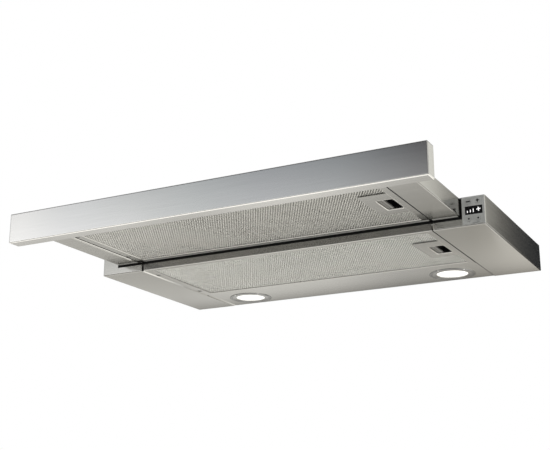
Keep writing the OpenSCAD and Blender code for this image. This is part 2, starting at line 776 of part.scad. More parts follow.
module diamond() {
    a = mesh_dx / 2;
    b = mesh_dy / 2;
    // the land's width across a strand shortens both half axes alike
    k = 1 - mesh_land / 2 * sqrt(1 / (a * a) + 1 / (b * b));
    polygon([[a * k, 0], [0, b * k], [-a * k, 0], [0, -b * k]]);
}

module drawer_filter_mesh() hung() color([0.62, 0.62, 0.6]) {
    translate([slot_mid, 0, 0])
        filter_mesh(drawer_filter_x, drawer_filter_y, drawer_filter_z, drawer_latch_y);
}

module canopy_filter_mesh() hung() color([0.62, 0.62, 0.6]) {
    filter_mesh(canopy_filter_x, canopy_filter_y, canopy_filter_z, canopy_latch_y);
}

// Latch cup: a moulded box over the latch window, open below, with a slot for the bolt
module latch_cup(x, z, mid) {
    wx = window_x(x);
    x0 = wx[0] - cup_hidden;
    x1 = wx[1] + cup_clear;
    half = latch_l / 2 + cup_clear;
    difference() {
        block([x0 - cup_wall, mid - half - cup_wall, z + frame_sheet],
              [x1 + cup_wall, mid + half + cup_wall, z + cup_h]);
        block([x0, mid - half, z - over], [x1, mid + half, z + cup_h - cup_wall]);
        block([wx[1], mid - latch_bar_w / 2 - 0.5, z + latch_bar_z - 0.3],
              [x1 + cup_wall + over, mid + latch_bar_w / 2 + 0.5, z + latch_bar_z + latch_bar_h + 0.3]);
    }
}

module drawer_latch_cup() hung() color([0.07, 0.07, 0.07]) {
    translate([slot_mid, 0, 0]) latch_cup(drawer_filter_x, drawer_filter_z, drawer_latch_y);
}

module canopy_latch_cup() hung() color([0.07, 0.07, 0.07]) {
    latch_cup(canopy_filter_x, canopy_filter_z, canopy_latch_y);
}

// Latch slider: a ribbed finger pad at the left of the recess and a bolt that reaches over the edge
module latch_slider(x, z, mid, reach) {
    wx = window_x(x);
    pad_x0 = wx[0] - cup_hidden + latch_travel + 0.5;
    pad_x1 = wx[0] + pad_w;
    half = latch_l / 2 + cup_clear - 0.2;
    difference() {
        block([pad_x0, mid - half, z + pad_z], [pad_x1, mid + half, z + latch_bar_z + latch_bar_h]);
        for (k = [0 : 2]) translate([wx[0] + 1.4 + groove_pitch * k, mid - half - over, z + pad_z - over])
            cube([groove, 2 * half + 2 * over, over + groove / 2]);
    }
    block([pad_x1, mid - latch_bar_w / 2, z + latch_bar_z],
          [x[1] + reach, mid + latch_bar_w / 2, z + latch_bar_z + latch_bar_h]);
}

module drawer_latch() hung() color([0.55, 0.55, 0.53]) {
    translate([slot_mid, 0, 0]) latch_slider(drawer_filter_x, drawer_filter_z, drawer_latch_y, 4);
}

module canopy_latch() hung() color([0.55, 0.55, 0.53]) {
    latch_slider(canopy_filter_x, canopy_filter_z, canopy_latch_y, 3);
}

// Blower housing: folded sheet box with a screw flange, open below, with the duct opening on top
module blower_housing() hung() color([0.74, 0.75, 0.76]) {
    lo = [housing_x, housing_y, canopy_h - 20];
    hi = [-housing_x, housing_y + housing_d, canopy_h + housing_h];
    flange = 12;
    difference() {
        union() {
            intersection() {
                folded_tray(lo, hi, 3, 1);
                block([lo[0], lo[1], canopy_h], hi);
            }
            difference() {
                translate([lo[0] - flange, lo[1] - flange, canopy_h]) linear_extrude(1)
                    round_rect([housing_w + 2 * flange, housing_d + 2 * flange], 4);
                block([lo[0] + 0.5, lo[1] + 0.5, canopy_h - over],
                      [hi[0] - 0.5, hi[1] - 0.5, canopy_h + 2]);
            }
        }
        translate([0, collar_y, hi[2] - 2]) cylinder(r = outlet_r + scroll_wall + 0.5, h = 4);
    }
}

function housing_screw_points() = concat(
    [for (x = [-1, 1], y = [0.15, 0.5, 0.85]) [x * (housing_w / 2 + 6), housing_y + y * housing_d]],
    [for (x = [-1, 1]) [x * housing_w * 0.3, housing_y - 6]]
);

// heads of the screws that hold the housing's flange, and of the one in the terminal lid
module housing_screws() hung() color([0.75, 0.75, 0.76]) {
    for (p = housing_screw_points()) translate([p[0], p[1], canopy_h + 1])
        cylinder(r = screw_head_r, h = screw_head_h);
    translate([(terminal_lo[0] + terminal_hi[0]) / 2, (terminal_lo[1] + terminal_hi[1]) / 2,
               terminal_hi[2] - lid_dimple]) cylinder(r = screw_head_r, h = screw_head_h);
}

// Scroll outline from above: a spiral round the wheel, then a round chamber below the duct
function spiral(grow) = [for (a = [tongue_angle : 7.5 : 360])
    [wheel_x + (scroll_start + (a - tongue_angle) * scroll_growth + grow) * cos(a),
     wheel_y + (scroll_start + (a - tongue_angle) * scroll_growth + grow) * sin(a)]];
function chamber(grow) = [for (a = [0 : 7.5 : 180])
    [(chamber_r + grow) * cos(a), collar_y + (chamber_r + grow) * sin(a)]];

module scroll_plan(grow) {
    polygon(concat(spiral(grow), chamber(grow)));
}

// walls of the scroll from z0 to z1, hollow from h0 to h1
module scroll_shell(z0, z1, h0, h1) {
    difference() {
        translate([0, 0, z0]) linear_extrude(z1 - z0) scroll_plan(scroll_wall);
        translate([0, 0, h0]) linear_extrude(h1 - h0) scroll_plan(0);
    }
}

// Lower half of the scroll with the rounded fan inlet
module lower_scroll() hung() color([0.2, 0.21, 0.22]) {
    difference() {
        scroll_shell(scroll_z0, scroll_split, scroll_z0 + scroll_wall, scroll_split + over);
        translate([wheel_x, wheel_y, scroll_z0 - over]) cylinder(r = inlet_r, h = scroll_wall + 2 * over);
    }
}

// Upper half of the scroll with the motor seat and the outlet
module upper_scroll() hung() color([0.2, 0.21, 0.22]) {
    spigot_h = collar_z - 1 - scroll_z1;
    difference() {
        union() {
            scroll_shell(scroll_split, scroll_z1, scroll_split - over, scroll_z1 - scroll_wall);
            translate([0, collar_y, scroll_z1]) cylinder(r = outlet_r + scroll_wall, h = spigot_h);
        }
        translate([0, collar_y, scroll_split]) cylinder(r = outlet_r, h = housing_h);
        translate([wheel_x, wheel_y, scroll_z1 - scroll_wall - over])
            cylinder(r = motor_boss_r, h = scroll_wall + 2 * over);
    }
}

// one forward-curved blade, as seen along the shaft, ending just inside the rim
blade_out_r = wheel_r - 0.5;
blade_depth = 9.5;
blade_t = 1;
function blade_edge(half) = [for (k = [0 : 5]) let (
        r = blade_out_r - blade_depth * (1 - k / 5),
        a = 26 * pow(k / 5, 1.6) + half * blade_t * 180 / (PI * r))
    [r * cos(a), r * sin(a)]];
function reversed(v) = [for (k = [len(v) - 1 : -1 : 0]) v[k]];

// Squirrel-cage wheel: hub, back disc, curved blades and the rim at the inlet
module wheel() hung() color([0.16, 0.17, 0.18]) {
    z1 = wheel_z + wheel_h;
    translate([wheel_x, wheel_y, 0]) difference() {
        union() {
            translate([0, 0, z1 - disc_t]) cylinder(r = wheel_r, h = disc_t);
            translate([0, 0, z1 - hub_h]) cylinder(r = hub_r, h = hub_h);
            translate([0, 0, wheel_z]) linear_extrude(wheel_h - disc_t / 2)
                for (i = [0 : blade_count - 1]) rotate(i * 360 / blade_count)
                    polygon(concat(blade_edge(-0.5), reversed(blade_edge(0.5))));
            translate([0, 0, wheel_z]) rotate_extrude() translate([wheel_r - 2.4, 0]) square([2.4, 3]);
        }
        translate([0, 0, z1 - hub_h - over]) cylinder(r = shaft_r + run_gap, h = hub_h + 2 * over);
    }
}

// Motor: flat can under the scroll's roof, its shaft and the boss that centres it
module motor() hung() color([0.3, 0.31, 0.33]) {
    z1 = scroll_z1 - scroll_wall;
    z0 = wheel_z + wheel_h + motor_gap;
    translate([wheel_x, wheel_y, 0]) {
        translate([0, 0, z0]) cylinder(d = motor_d, h = z1 - z0);
        translate([0, 0, z1]) cylinder(r = motor_boss_r - 0.1, h = scroll_wall + 2);
        translate([0, 0, wheel_z + wheel_h - hub_h]) cylinder(r = shaft_r, h = hub_h + motor_gap);
    }
}

capacitor_r = 15;
capacitor_h = 52;
stud_r = 4;
stud_h = 6;
capacitor_gap = 10;

// Capacitor: a round can in the housing's rear corner with its contact stud
module capacitor() hung() color([0.85, 0.85, 0.82]) {
    inset = capacitor_r + capacitor_gap;
    translate([housing_x + inset, housing_y + housing_d - inset, canopy_h]) {
        cylinder(r = capacitor_r, h = capacitor_h);
        translate([0, 0, capacitor_h]) cylinder(r = stud_r, h = stud_h);
    }
}

terminal_w = 75;
terminal_d = 68;
terminal_h = 34;
terminal_wall = 2;
lid_h = 7;
lid_lip = 1;
lid_dimple = 1;
side_gap = 25;
terminal_lo = [housing_x - side_gap - terminal_w, 190, canopy_h];
terminal_hi = terminal_lo + [terminal_w, terminal_d, terminal_h];
gland_y = terminal_lo[1] + terminal_d / 2;
gland_z = canopy_h + terminal_h / 2;

// Terminal box beside the housing, open at the top
module terminal_box() hung() color([0.15, 0.15, 0.16]) {
    w = terminal_wall;
    difference() {
        translate(terminal_lo) linear_extrude(terminal_h - w) round_rect([terminal_w, terminal_d], 3);
        translate(terminal_lo + [w, w, w]) linear_extrude(terminal_h)
            round_rect([terminal_w - 2 * w, terminal_d - 2 * w], 1);
        translate([terminal_lo[0] - over, gland_y, gland_z]) rotate([0, 90, 0])
            cylinder(r = 6, h = w + 2 * over);
    }
}

// Lid that caps the terminal box, held by one screw in a dimple in its middle
module terminal_lid() hung() color([0.17, 0.17, 0.18]) {
    fit = 0.1;
    lip = lid_lip + fit;
    size = [terminal_w + 2 * lip, terminal_d + 2 * lip];
    translate([terminal_lo[0] - lip, terminal_lo[1] - lip, terminal_hi[2] - lid_h]) difference() {
        soft_block([0, 0, -4], [size[0], size[1], lid_h], 2);
        block([-over, -over, -5], [size[0] + over, size[1] + over, 0]);
        translate([lid_lip, lid_lip, -over]) linear_extrude(lid_h - terminal_wall + over)
            round_rect([terminal_w + 2 * fit, terminal_d + 2 * fit], 3);
        translate([size[0] / 2, size[1] / 2, lid_h - lid_dimple]) cylinder(r = screw_head_r + 0.4, h = 2);
    }
}

// Cable gland: body through the wall, hexagon and clamping cap, with the cable's bore
module cable_gland() hung() color([0.12, 0.12, 0.13]) {
    translate([terminal_lo[0], gland_y, gland_z]) rotate([0, -90, 0]) difference() {
        union() {
            translate([0, 0, -6]) cylinder(r = 5.9, h = 8);
            cylinder(r = 9.5, h = 5, $fn = 6);
            translate([0, 0, 5]) cylinder(r = 7.6, h = 9);
            translate([0, 0, 14]) cylinder(r1 = 7.6, r2 = 6, h = 3);
        }
        translate([0, 0, -7]) cylinder(d = cable_d, h = 26);
    }
}

driver_w = 62;
driver_d = 36;
driver_h = 21;
driver_back = 57;
driver_y = housing_y + housing_d - driver_back;
driver_foot = [8, 10, 2];
foot_root = 2;

// Lamp driver: a moulded box with a foot at each end
module lamp_driver() hung() color([0.9, 0.9, 0.88]) {
    translate([-housing_x + side_gap, driver_y, canopy_h]) {
        soft_block([0, 0, 0], [driver_w, driver_d, driver_h], 2);
        for (x = [foot_root - driver_foot[0], driver_w - foot_root])
            translate([x, (driver_d - driver_foot[1]) / 2, 0]) cube(driver_foot);
    }
}

// Duct collar: flange, spigot, seat for the flaps and two bosses that hold the flap rod
module duct_collar() hung() color([0.13, 0.13, 0.14]) {
    inner = collar_r - collar_wall;
    rim_r = collar_r + collar_flange;
    seat_h = flap_rod_z - knuckle_r - seat_gap - collar_z;
    translate([0, collar_y, 0]) difference() {
        union() {
            translate([0, 0, collar_z]) rotate_extrude() polygon([
                [inner, 0], [rim_r, 0], [rim_r, 2], [collar_r + 1, 2], [collar_r, 3],
                [collar_r, collar_h - 2], [collar_r - 0.6, collar_h], [inner, collar_h],
                [inner, seat_h], [seat_r, seat_h], [seat_r, seat_h - seat_t], [inner, seat_h - seat_t]
            ]);
            for (s = [-1, 1]) intersection() {
                block([s > 0 ? flap_r + 0.4 : -collar_r + 1, -3.4, collar_z + 3],
                      [s > 0 ? collar_r - 1 : -flap_r - 0.4, 3.4, collar_z + 14]);
                translate([0, 0, collar_z]) cylinder(r = collar_r - 0.5, h = collar_h);
            }
        }
        translate([-flap_r - 2.2, 0, flap_rod_z]) rotate([0, 90, 0])
            cylinder(r = flap_rod_r + run_gap, h = 2 * flap_r + 4.4);
    }
}

module flap_rod() hung() color([0.75, 0.75, 0.76]) {
    translate([-flap_r - 2.1, collar_y, flap_rod_z]) rotate([0, 90, 0])
        cylinder(r = flap_rod_r, h = 2 * flap_r + 4.2);
}

// Half-round flap with two knuckles round the rod, drawn for the rear half
module flap(knuckles) {
    plate_z0 = flap_rod_z - knuckle_r;
    difference() {
        union() {
            intersection() {
                translate([0, 0, plate_z0]) cylinder(r = flap_r, h = flap_t);
                block([-flap_r, flap_root, plate_z0 - over], [flap_r, flap_r, plate_z0 + flap_t + over]);
            }
            for (k = knuckles) {
                block([k[0], 0, plate_z0], [k[1], flap_root + 0.4, plate_z0 + flap_t]);
                translate([k[0], 0, flap_rod_z]) rotate([0, 90, 0]) cylinder(r = knuckle_r, h = k[1] - k[0]);
            }
        }
        translate([-flap_r, 0, flap_rod_z]) rotate([0, 90, 0])
            cylinder(r = flap_rod_r + run_gap, h = 2 * flap_r);
    }
}

module rear_flap() hung() color([0.18, 0.18, 0.19]) translate([0, collar_y, 0]) {
    flap([[-42, -24], [6, 22]]);
}

module front_flap() hung() color([0.18, 0.18, 0.19]) translate([0, collar_y, 0]) mirror([0, 1, 0]) {
    flap([[-22, -6], [24, 42]]);
}

module collar_screws() hung() color([0.75, 0.75, 0.76]) {
    for (a = [45 : 90 : 315]) translate([0, collar_y, collar_z + 2]) rotate(a)
        translate([collar_r + collar_flange / 2 + 0.6, 0, 0]) cylinder(r = 2.8, h = 1.8);
}

left_side_panel();
right_side_panel();
rear_panel();
top_plate();
lamp_panel();
slot_sill();
slot_seal();
left_lamp_ring();
right_lamp_ring();
left_lamp_lens();
right_lamp_lens();
left_lamp_module();
right_lamp_module();
control_panel();
display_window();
upper_left_key();
upper_right_key();
lower_left_key();
lower_right_key();
control_board();
drawer_switch();
switch_lever();
left_runner_bracket();
right_runner_bracket();
left_fixed_rail();
right_fixed_rail();
left_middle_rail();
right_middle_rail();
left_drawer_rail();
right_drawer_rail();
drawer_frame();
drawer_cover();
drawer_front();
drawer_front_plate();
drawer_filter_frame();
drawer_filter_mesh();
drawer_latch_cup();
drawer_latch();
canopy_filter_frame();
canopy_filter_mesh();
canopy_latch_cup();
canopy_latch();
blower_housing();
lower_scroll();
upper_scroll();
wheel();
motor();
capacitor();
terminal_box();
terminal_lid();
cable_gland();
lamp_driver();
duct_collar();
front_flap();
rear_flap();
flap_rod();
housing_screws();
collar_screws();
front_screws();
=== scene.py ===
import math

import bmesh
import bpy
import numpy as np
from mathutils import Matrix, Vector


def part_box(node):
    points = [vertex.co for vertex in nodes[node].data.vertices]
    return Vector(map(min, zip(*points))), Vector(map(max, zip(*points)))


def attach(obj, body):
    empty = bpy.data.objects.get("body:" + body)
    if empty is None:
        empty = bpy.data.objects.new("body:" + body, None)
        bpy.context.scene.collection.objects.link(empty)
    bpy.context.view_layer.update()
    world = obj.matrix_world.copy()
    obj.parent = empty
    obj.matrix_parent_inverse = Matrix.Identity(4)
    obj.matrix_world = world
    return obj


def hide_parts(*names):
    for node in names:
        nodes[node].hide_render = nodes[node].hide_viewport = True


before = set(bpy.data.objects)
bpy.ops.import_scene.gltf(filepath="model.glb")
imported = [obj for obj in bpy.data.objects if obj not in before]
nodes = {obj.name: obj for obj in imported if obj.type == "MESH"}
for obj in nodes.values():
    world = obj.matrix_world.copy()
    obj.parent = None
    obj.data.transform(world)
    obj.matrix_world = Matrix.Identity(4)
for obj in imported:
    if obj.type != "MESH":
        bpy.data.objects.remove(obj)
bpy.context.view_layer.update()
scene = bpy.context.scene
scene.view_settings.view_transform = "Standard"

# Camera. The hood hangs at eye level and is seen from the front right and from a little below, as by
# someone at the hob. Its place, turn and focal length come from the corners of the canopy and drawer.
cam_data = bpy.data.cameras.new("camera")
cam_data.sensor_width = 36.0
focal_px, picture_px = 1046.3, 550.0
cam_data.lens = cam_data.sensor_width * focal_px / picture_px
cam_data.clip_end = 50.0
camera = bpy.data.objects.new("camera", cam_data)
scene.collection.objects.link(camera)
turn, tilt = 0.4867, 0.2909
ahead = Vector((-math.sin(turn) * math.cos(tilt), math.cos(turn) * math.cos(tilt), math.sin(tilt)))
aside = Vector((math.cos(turn), math.sin(turn), 0.0))
above = aside.cross(ahead)
eye = Vector((0.6559, -1.3506, -0.4236))
look = Matrix((aside, above, -ahead)).transposed().to_quaternion()
camera.matrix_world = Matrix.LocRotScale(eye, look, None)
scene.camera = camera


# Studio. A white room for the camera. The steel sees a warm grey floor behind and below the hood, dim
# surroundings, and three soft cards: before the drawer's front, behind the hood, and behind at the right.
def shader(tree, kind, settings=None, **inputs):
    """One shader node. Settings are its properties; inputs are values or other nodes' outputs, by the
    socket's name with _ for a space, or by i and its number."""
    n = tree.nodes.new(kind)
    for key, value in (settings or {}).items():
        setattr(n, key, value)
    for key, value in inputs.items():
        by_number = key[0] == "i" and key[1:].isdigit()
        socket = n.inputs[int(key[1:]) if by_number else key.replace("_", " ")]
        if isinstance(value, bpy.types.NodeSocket):
            tree.links.new(value, socket)
        else:
            socket.default_value = value
    return n


def sums(tree, operation, a, b=0.0, clamp=False):
    """The outcome of one Math node."""
    settings = {"operation": operation, "use_clamp": clamp}
    return shader(tree, "ShaderNodeMath", settings, i0=a, i1=b).outputs[0]


def vectors(tree, operation, a, b=(0.0, 0.0, 0.0), c=(0.0, 0.0, 0.0)):
    """The outcome of one Vector Math node."""
    return shader(tree, "ShaderNodeVectorMath", {"operation": operation}, i0=a, i1=b, i2=c).outputs[0]


def dimmed(tree, colour, share):
    """The colour times a share."""
    return shader(tree, "ShaderNodeVectorMath", {"operation": "SCALE"}, i0=colour, Scale=share).outputs[0]


def scale(tree, value, lo, hi, to_lo=0.0, to_hi=1.0):
    """The value mapped in a straight line from lo..hi to to_lo..to_hi, held at the ends."""
    return shader(tree, "ShaderNodeMapRange", {"clamp": True},
                  i0=value, i1=lo, i2=hi, i3=to_lo, i4=to_hi).outputs[0]


def stops(tree, value, lo, hi, points):
    """A colour scale: points are (where, colour) with where between lo and hi, joined by straight lines."""
    n = shader(tree, "ShaderNodeValToRGB", i0=scale(tree, value, lo, hi))
    e = n.color_ramp.elements
    top = max(max(c) for _, c in points)
    for k, (at, colour) in enumerate(points):
        mark = e[k] if k < 2 else e.new(1.0)
        mark.position = (at - lo) / (hi - lo)
        mark.color = (*[c / top for c in colour], 1)
    return dimmed(tree, n.outputs[0], top)


def mixed(tree, share, a, b):
    """Colour a, or b where the share is 1."""
    return shader(tree, "ShaderNodeMix", {"data_type": "RGBA"}, i0=share, i6=a, i7=b).outputs[2]


def mixed_value(tree, share, a, b):
    """Value a, or b where the share is 1."""
    return shader(tree, "ShaderNodeMix", {"data_type": "FLOAT"}, i0=share, i2=a, i3=b).outputs[0]


world = bpy.data.worlds.new("studio")
scene.world = world
world.use_nodes = True
wt = world.node_tree
wt.nodes.clear()
way = shader(wt, "ShaderNodeSeparateXYZ", i0=shader(wt, "ShaderNodeTexCoord").outputs["Generated"]).outputs
floor_side = stops(wt, way[2], -1.0, 1.0, [
    (-1.00, (1.50, 1.48, 1.42)), (-0.42, (1.35, 1.33, 1.27)), (-0.34, (0.60, 0.58, 0.54)),
    (-0.20, (0.50, 0.48, 0.45)), (0.0, (0.20, 0.20, 0.20)), (1.00, (0.25, 0.25, 0.25))])
front_side = stops(wt, way[2], -1.0, 1.0, [
    (-1.00, (1.40, 1.38, 1.33)), (-0.80, (1.20, 1.18, 1.14)), (-0.62, (0.30, 0.30, 0.28)),
    (-0.10, (0.32, 0.32, 0.31)), (0.10, (0.60, 0.61, 0.62)),
    (0.45, (0.60, 0.60, 0.60)), (1.00, (0.30, 0.30, 0.30))])
below_left = scale(wt, way[0], -0.60, -0.30, 1.0, 0.62)
front_side = dimmed(wt, front_side, mixed_value(wt, scale(wt, way[2], -0.75, -0.62), below_left, 1.0))
behind = scale(wt, way[1], -0.15, 0.25)
window = scale(wt, way[0], 0.62, 0.78)
room = mixed(wt, behind, mixed(wt, window, front_side, (0.95, 0.95, 0.93, 1.0)), floor_side)
seen = shader(wt, "ShaderNodeLightPath").outputs["Is Camera Ray"]
lit = shader(wt, "ShaderNodeBackground", Color=room, Strength=1.0).outputs[0]
white = shader(wt, "ShaderNodeBackground", Color=(1, 1, 1, 1), Strength=1.0).outputs[0]
either = shader(wt, "ShaderNodeMixShader", i0=seen, i1=lit, i2=white).outputs[0]
shader(wt, "ShaderNodeOutputWorld", Surface=either)


def new_material(name):
    """A material with its node tree and its Principled shader."""
    m = bpy.data.materials.new(name)
    m.use_nodes = True
    return m, m.node_tree, m.node_tree.nodes["Principled BSDF"]


def flat(name, corners, material):
    """One four-cornered face of the stage."""
    mesh = bpy.data.meshes.new(name)
    mesh.from_pydata(corners, [], [(0, 1, 2, 3)])
    mesh.materials.append(material)
    ob = bpy.data.objects.new(name, mesh)
    scene.collection.objects.link(ob)
    return ob


def card(name, x_span, y, z_span, colour_of):
    """An upright card that only shiny surfaces see; colour_of(tree, x, z) gives what it shines."""
    (x0, x1), (z0, z1) = x_span, z_span
    m, t, _ = new_material(name)
    t.nodes.clear()
    xyz = shader(t, "ShaderNodeSeparateXYZ", i0=shader(t, "ShaderNodeTexCoord").outputs["Object"]).outputs
    glow = shader(t, "ShaderNodeEmission", Color=colour_of(t, xyz[0], xyz[2]), Strength=1.0).outputs[0]
    shader(t, "ShaderNodeOutputMaterial", Surface=glow)
    ob = flat(name, [(x0, y, z0), (x1, y, z0), (x1, y, z1), (x0, y, z1)], m)
    for ray in ("camera", "diffuse", "transmission", "shadow", "volume_scatter"):
        setattr(ob, "visible_" + ray, False)


front_lo, front_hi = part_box("drawer_front")
front_card_y = front_lo.y - 0.20
front_mid_z = (front_lo.z + front_hi.z) / 2 + 0.08
dimmer_per_metre = 4.5


def front_card_colour(t, x, z):
    """Brightest at the left, a little less so beyond, dim at the right, and dimmer upwards."""
    across = stops(t, x, -0.60, 0.40, [
        (-0.55, (1.04, 1.05, 1.05)), (-0.49, (1.36, 1.37, 1.39)), (-0.47, (1.37, 1.38, 1.40)),
        (-0.363, (1.11, 1.14, 1.18)), (-0.247, (0.93, 0.96, 0.99)), (-0.13, (0.74, 0.78, 0.81)),
        (-0.014, (0.60, 0.63, 0.67)), (0.10, (0.48, 0.51, 0.54)), (0.22, (0.23, 0.235, 0.25)),
        (0.30, (0.17, 0.17, 0.175))])
    down = sums(t, "MULTIPLY", sums(t, "SUBTRACT", front_mid_z, z), dimmer_per_metre)
    return vectors(t, "MAXIMUM", vectors(t, "ADD", across, down), (0.05, 0.05, 0.05))


card("front_card", (-1.0, 0.55), front_card_y, (-0.10, 0.45), front_card_colour)


def right_card_colour(t, x, z):
    """Dark beside the wall and brighter away from it."""
    return stops(t, x, 0.30, 0.70, [
        (0.36, (0.025, 0.03, 0.03)), (0.393, (0.03, 0.03, 0.033)), (0.415, (0.045, 0.047, 0.05)),
        (0.44, (0.085, 0.08, 0.075)), (0.462, (0.18, 0.175, 0.155)), (0.486, (0.40, 0.39, 0.36)),
        (0.504, (0.74, 0.73, 0.69)), (0.572, (1.0, 1.0, 0.94))])


card("right_card", (0.30, 1.60), 0.5, (-0.25, 0.75), right_card_colour)

under_ceiling_z = -0.045


def rear_card_colour(t, x, z):
    """What the underside mirrors: dark close under the ceiling, in bands of light and shade below it,
    brightest at the foot, and dimmer between the middle and the right end."""
    drop = sums(t, "SUBTRACT", under_ceiling_z, z)
    down = stops(t, drop, -0.03, 0.60, [
        (-0.03, (0.10, 0.10, 0.09)), (0.0, (0.12, 0.12, 0.11)), (0.022, (0.22, 0.215, 0.20)),
        (0.036, (0.54, 0.53, 0.50)), (0.050, (1.04, 1.03, 1.00)), (0.064, (0.92, 0.91, 0.87)),
        (0.085, (0.84, 0.83, 0.79)), (0.107, (0.62, 0.61, 0.57)), (0.122, (0.58, 0.57, 0.53)),
        (0.135, (0.64, 0.63, 0.59)), (0.156, (0.50, 0.49, 0.46)), (0.178, (0.38, 0.37, 0.35)),
        (0.196, (0.40, 0.40, 0.39)), (0.215, (0.86, 0.86, 0.84)), (0.235, (0.96, 0.96, 0.92)),
        (0.26, (1.3, 1.28, 1.22)), (0.60, (1.35, 1.33, 1.27))])
    across = stops(t, x, -0.90, 0.30, [
        (-0.90, (0.80, 0.80, 0.80)), (-0.60, (0.86, 0.86, 0.86)), (-0.42, (0.78, 0.78, 0.78)),
        (-0.25, (0.98, 0.98, 0.98)), (-0.10, (0.92, 0.92, 0.92)), (0.03, (0.70, 0.70, 0.70)),
        (0.16, (0.64, 0.63, 0.61)), (0.25, (0.84, 0.82, 0.79))])
    wall = vectors(t, "MULTIPLY", down, across)
    low_right = sums(t, "MULTIPLY", scale(t, drop, 0.12, 0.14), scale(t, x, 0.19, 0.205))
    return mixed(t, low_right, wall, (1.5, 1.48, 1.42, 1.0))


card("rear_card", (-2.2, 0.30), 0.295, (-0.65, -0.012), rear_card_colour)

# the pale floor far below, which only the camera sees
floor_paint, _, principled = new_material("worktop")
for socket, value in (("Base Color", (0.85, 0.85, 0.84, 1)), ("Roughness", 0.9),
                      ("Emission Color", (1, 1, 1, 1)), ("Emission Strength", 0.35)):
    principled.inputs[socket].default_value = value
floor_z, reach = -1.7, 4.0
corners = ((-reach, -reach), (reach, -reach), (reach, reach), (-reach, reach))
worktop = flat("worktop", [(x, y, floor_z) for x, y in corners], floor_paint)
worktop.visible_glossy = False
worktop.visible_diffuse = False

for name, place, size, power in (("overhead", (0.3, -0.2, 1.8), 1.6, 14.0),
                                 ("fill", (1.2, -1.6, -0.5), 1.2, 7.0)):
    soft = bpy.data.lights.new(name, "AREA")
    soft.shape = "DISK"
    soft.size = size
    soft.energy = power
    soft_ob = bpy.data.objects.new(name, soft)
    scene.collection.objects.link(soft_ob)
    soft_ob.location = place
    soft_ob.rotation_euler = (Vector((0, 0, 0)) - Vector(place)).to_track_quat("-Z", "Y").to_euler()
    soft_ob.visible_glossy = False


# Brushed sheet. The canopy and the drawer are folded from 0.8 mm stainless sheet, brushed along its
# length: fine streaks that spread a reflection across the brushing and leave it sharp along it.
def new_group(name, inputs, outputs):
    """An empty shader node group with its sockets."""
    g = bpy.data.node_groups.new(name, "ShaderNodeTree")
    for label, kind, value in inputs:
        s = g.interface.new_socket(label, in_out="INPUT", socket_type=kind)
        s.default_value = value
    for label, kind in outputs:
        g.interface.new_socket(label, in_out="OUTPUT", socket_type=kind)
    return g, g.nodes.new("NodeGroupInput").outputs, g.nodes.new("NodeGroupOutput").inputs


def facing(tree, axis):
    """How far the surface faces along one of the piece's own axes, from -1 to 1."""
    normal = shader(tree, "ShaderNodeTexCoord").outputs["Normal"]
    return shader(tree, "ShaderNodeSeparateXYZ", i0=normal).outputs[axis]


brushing, bi, bo = new_group(
    "brushing", [("Streak", "NodeSocketFloat", 0.5), ("Cloud", "NodeSocketFloat", 0.5)],
    [("Shade", "NodeSocketFloat"), ("Polish", "NodeSocketFloat"), ("Height", "NodeSocketFloat")])
at = shader(brushing, "ShaderNodeTexCoord").outputs["Object"]
is_side = sums(brushing, "GREATER_THAN", sums(brushing, "ABSOLUTE", facing(brushing, 0)), 0.7)
# noise cells per metre, few along the brushing and many across it
few, many = 9, 620
along_x = vectors(brushing, "MULTIPLY", at, (few, many, many))
along_y = vectors(brushing, "MULTIPLY", at, (many, few, many))
streak_at = shader(brushing, "ShaderNodeMix", {"data_type": "VECTOR"},
                   i0=is_side, i4=along_x, i5=along_y).outputs[1]
fine = shader(brushing, "ShaderNodeTexNoise",
              Vector=streak_at, Scale=1.0, Detail=3.0, Roughness=0.7).outputs[0]
cloud = shader(brushing, "ShaderNodeTexNoise", Vector=at, Scale=9.0, Detail=2.0).outputs[0]
streak = sums(brushing, "MULTIPLY", sums(brushing, "SUBTRACT", fine, 0.5), bi["Streak"])
haze = sums(brushing, "MULTIPLY", sums(brushing, "SUBTRACT", cloud, 0.5), bi["Cloud"])
both = sums(brushing, "ADD", streak, haze)
brushing.links.new(sums(brushing, "ADD", both, 1.0), bo["Shade"])
brushing.links.new(both, bo["Polish"])
brushing.links.new(fine, bo["Height"])


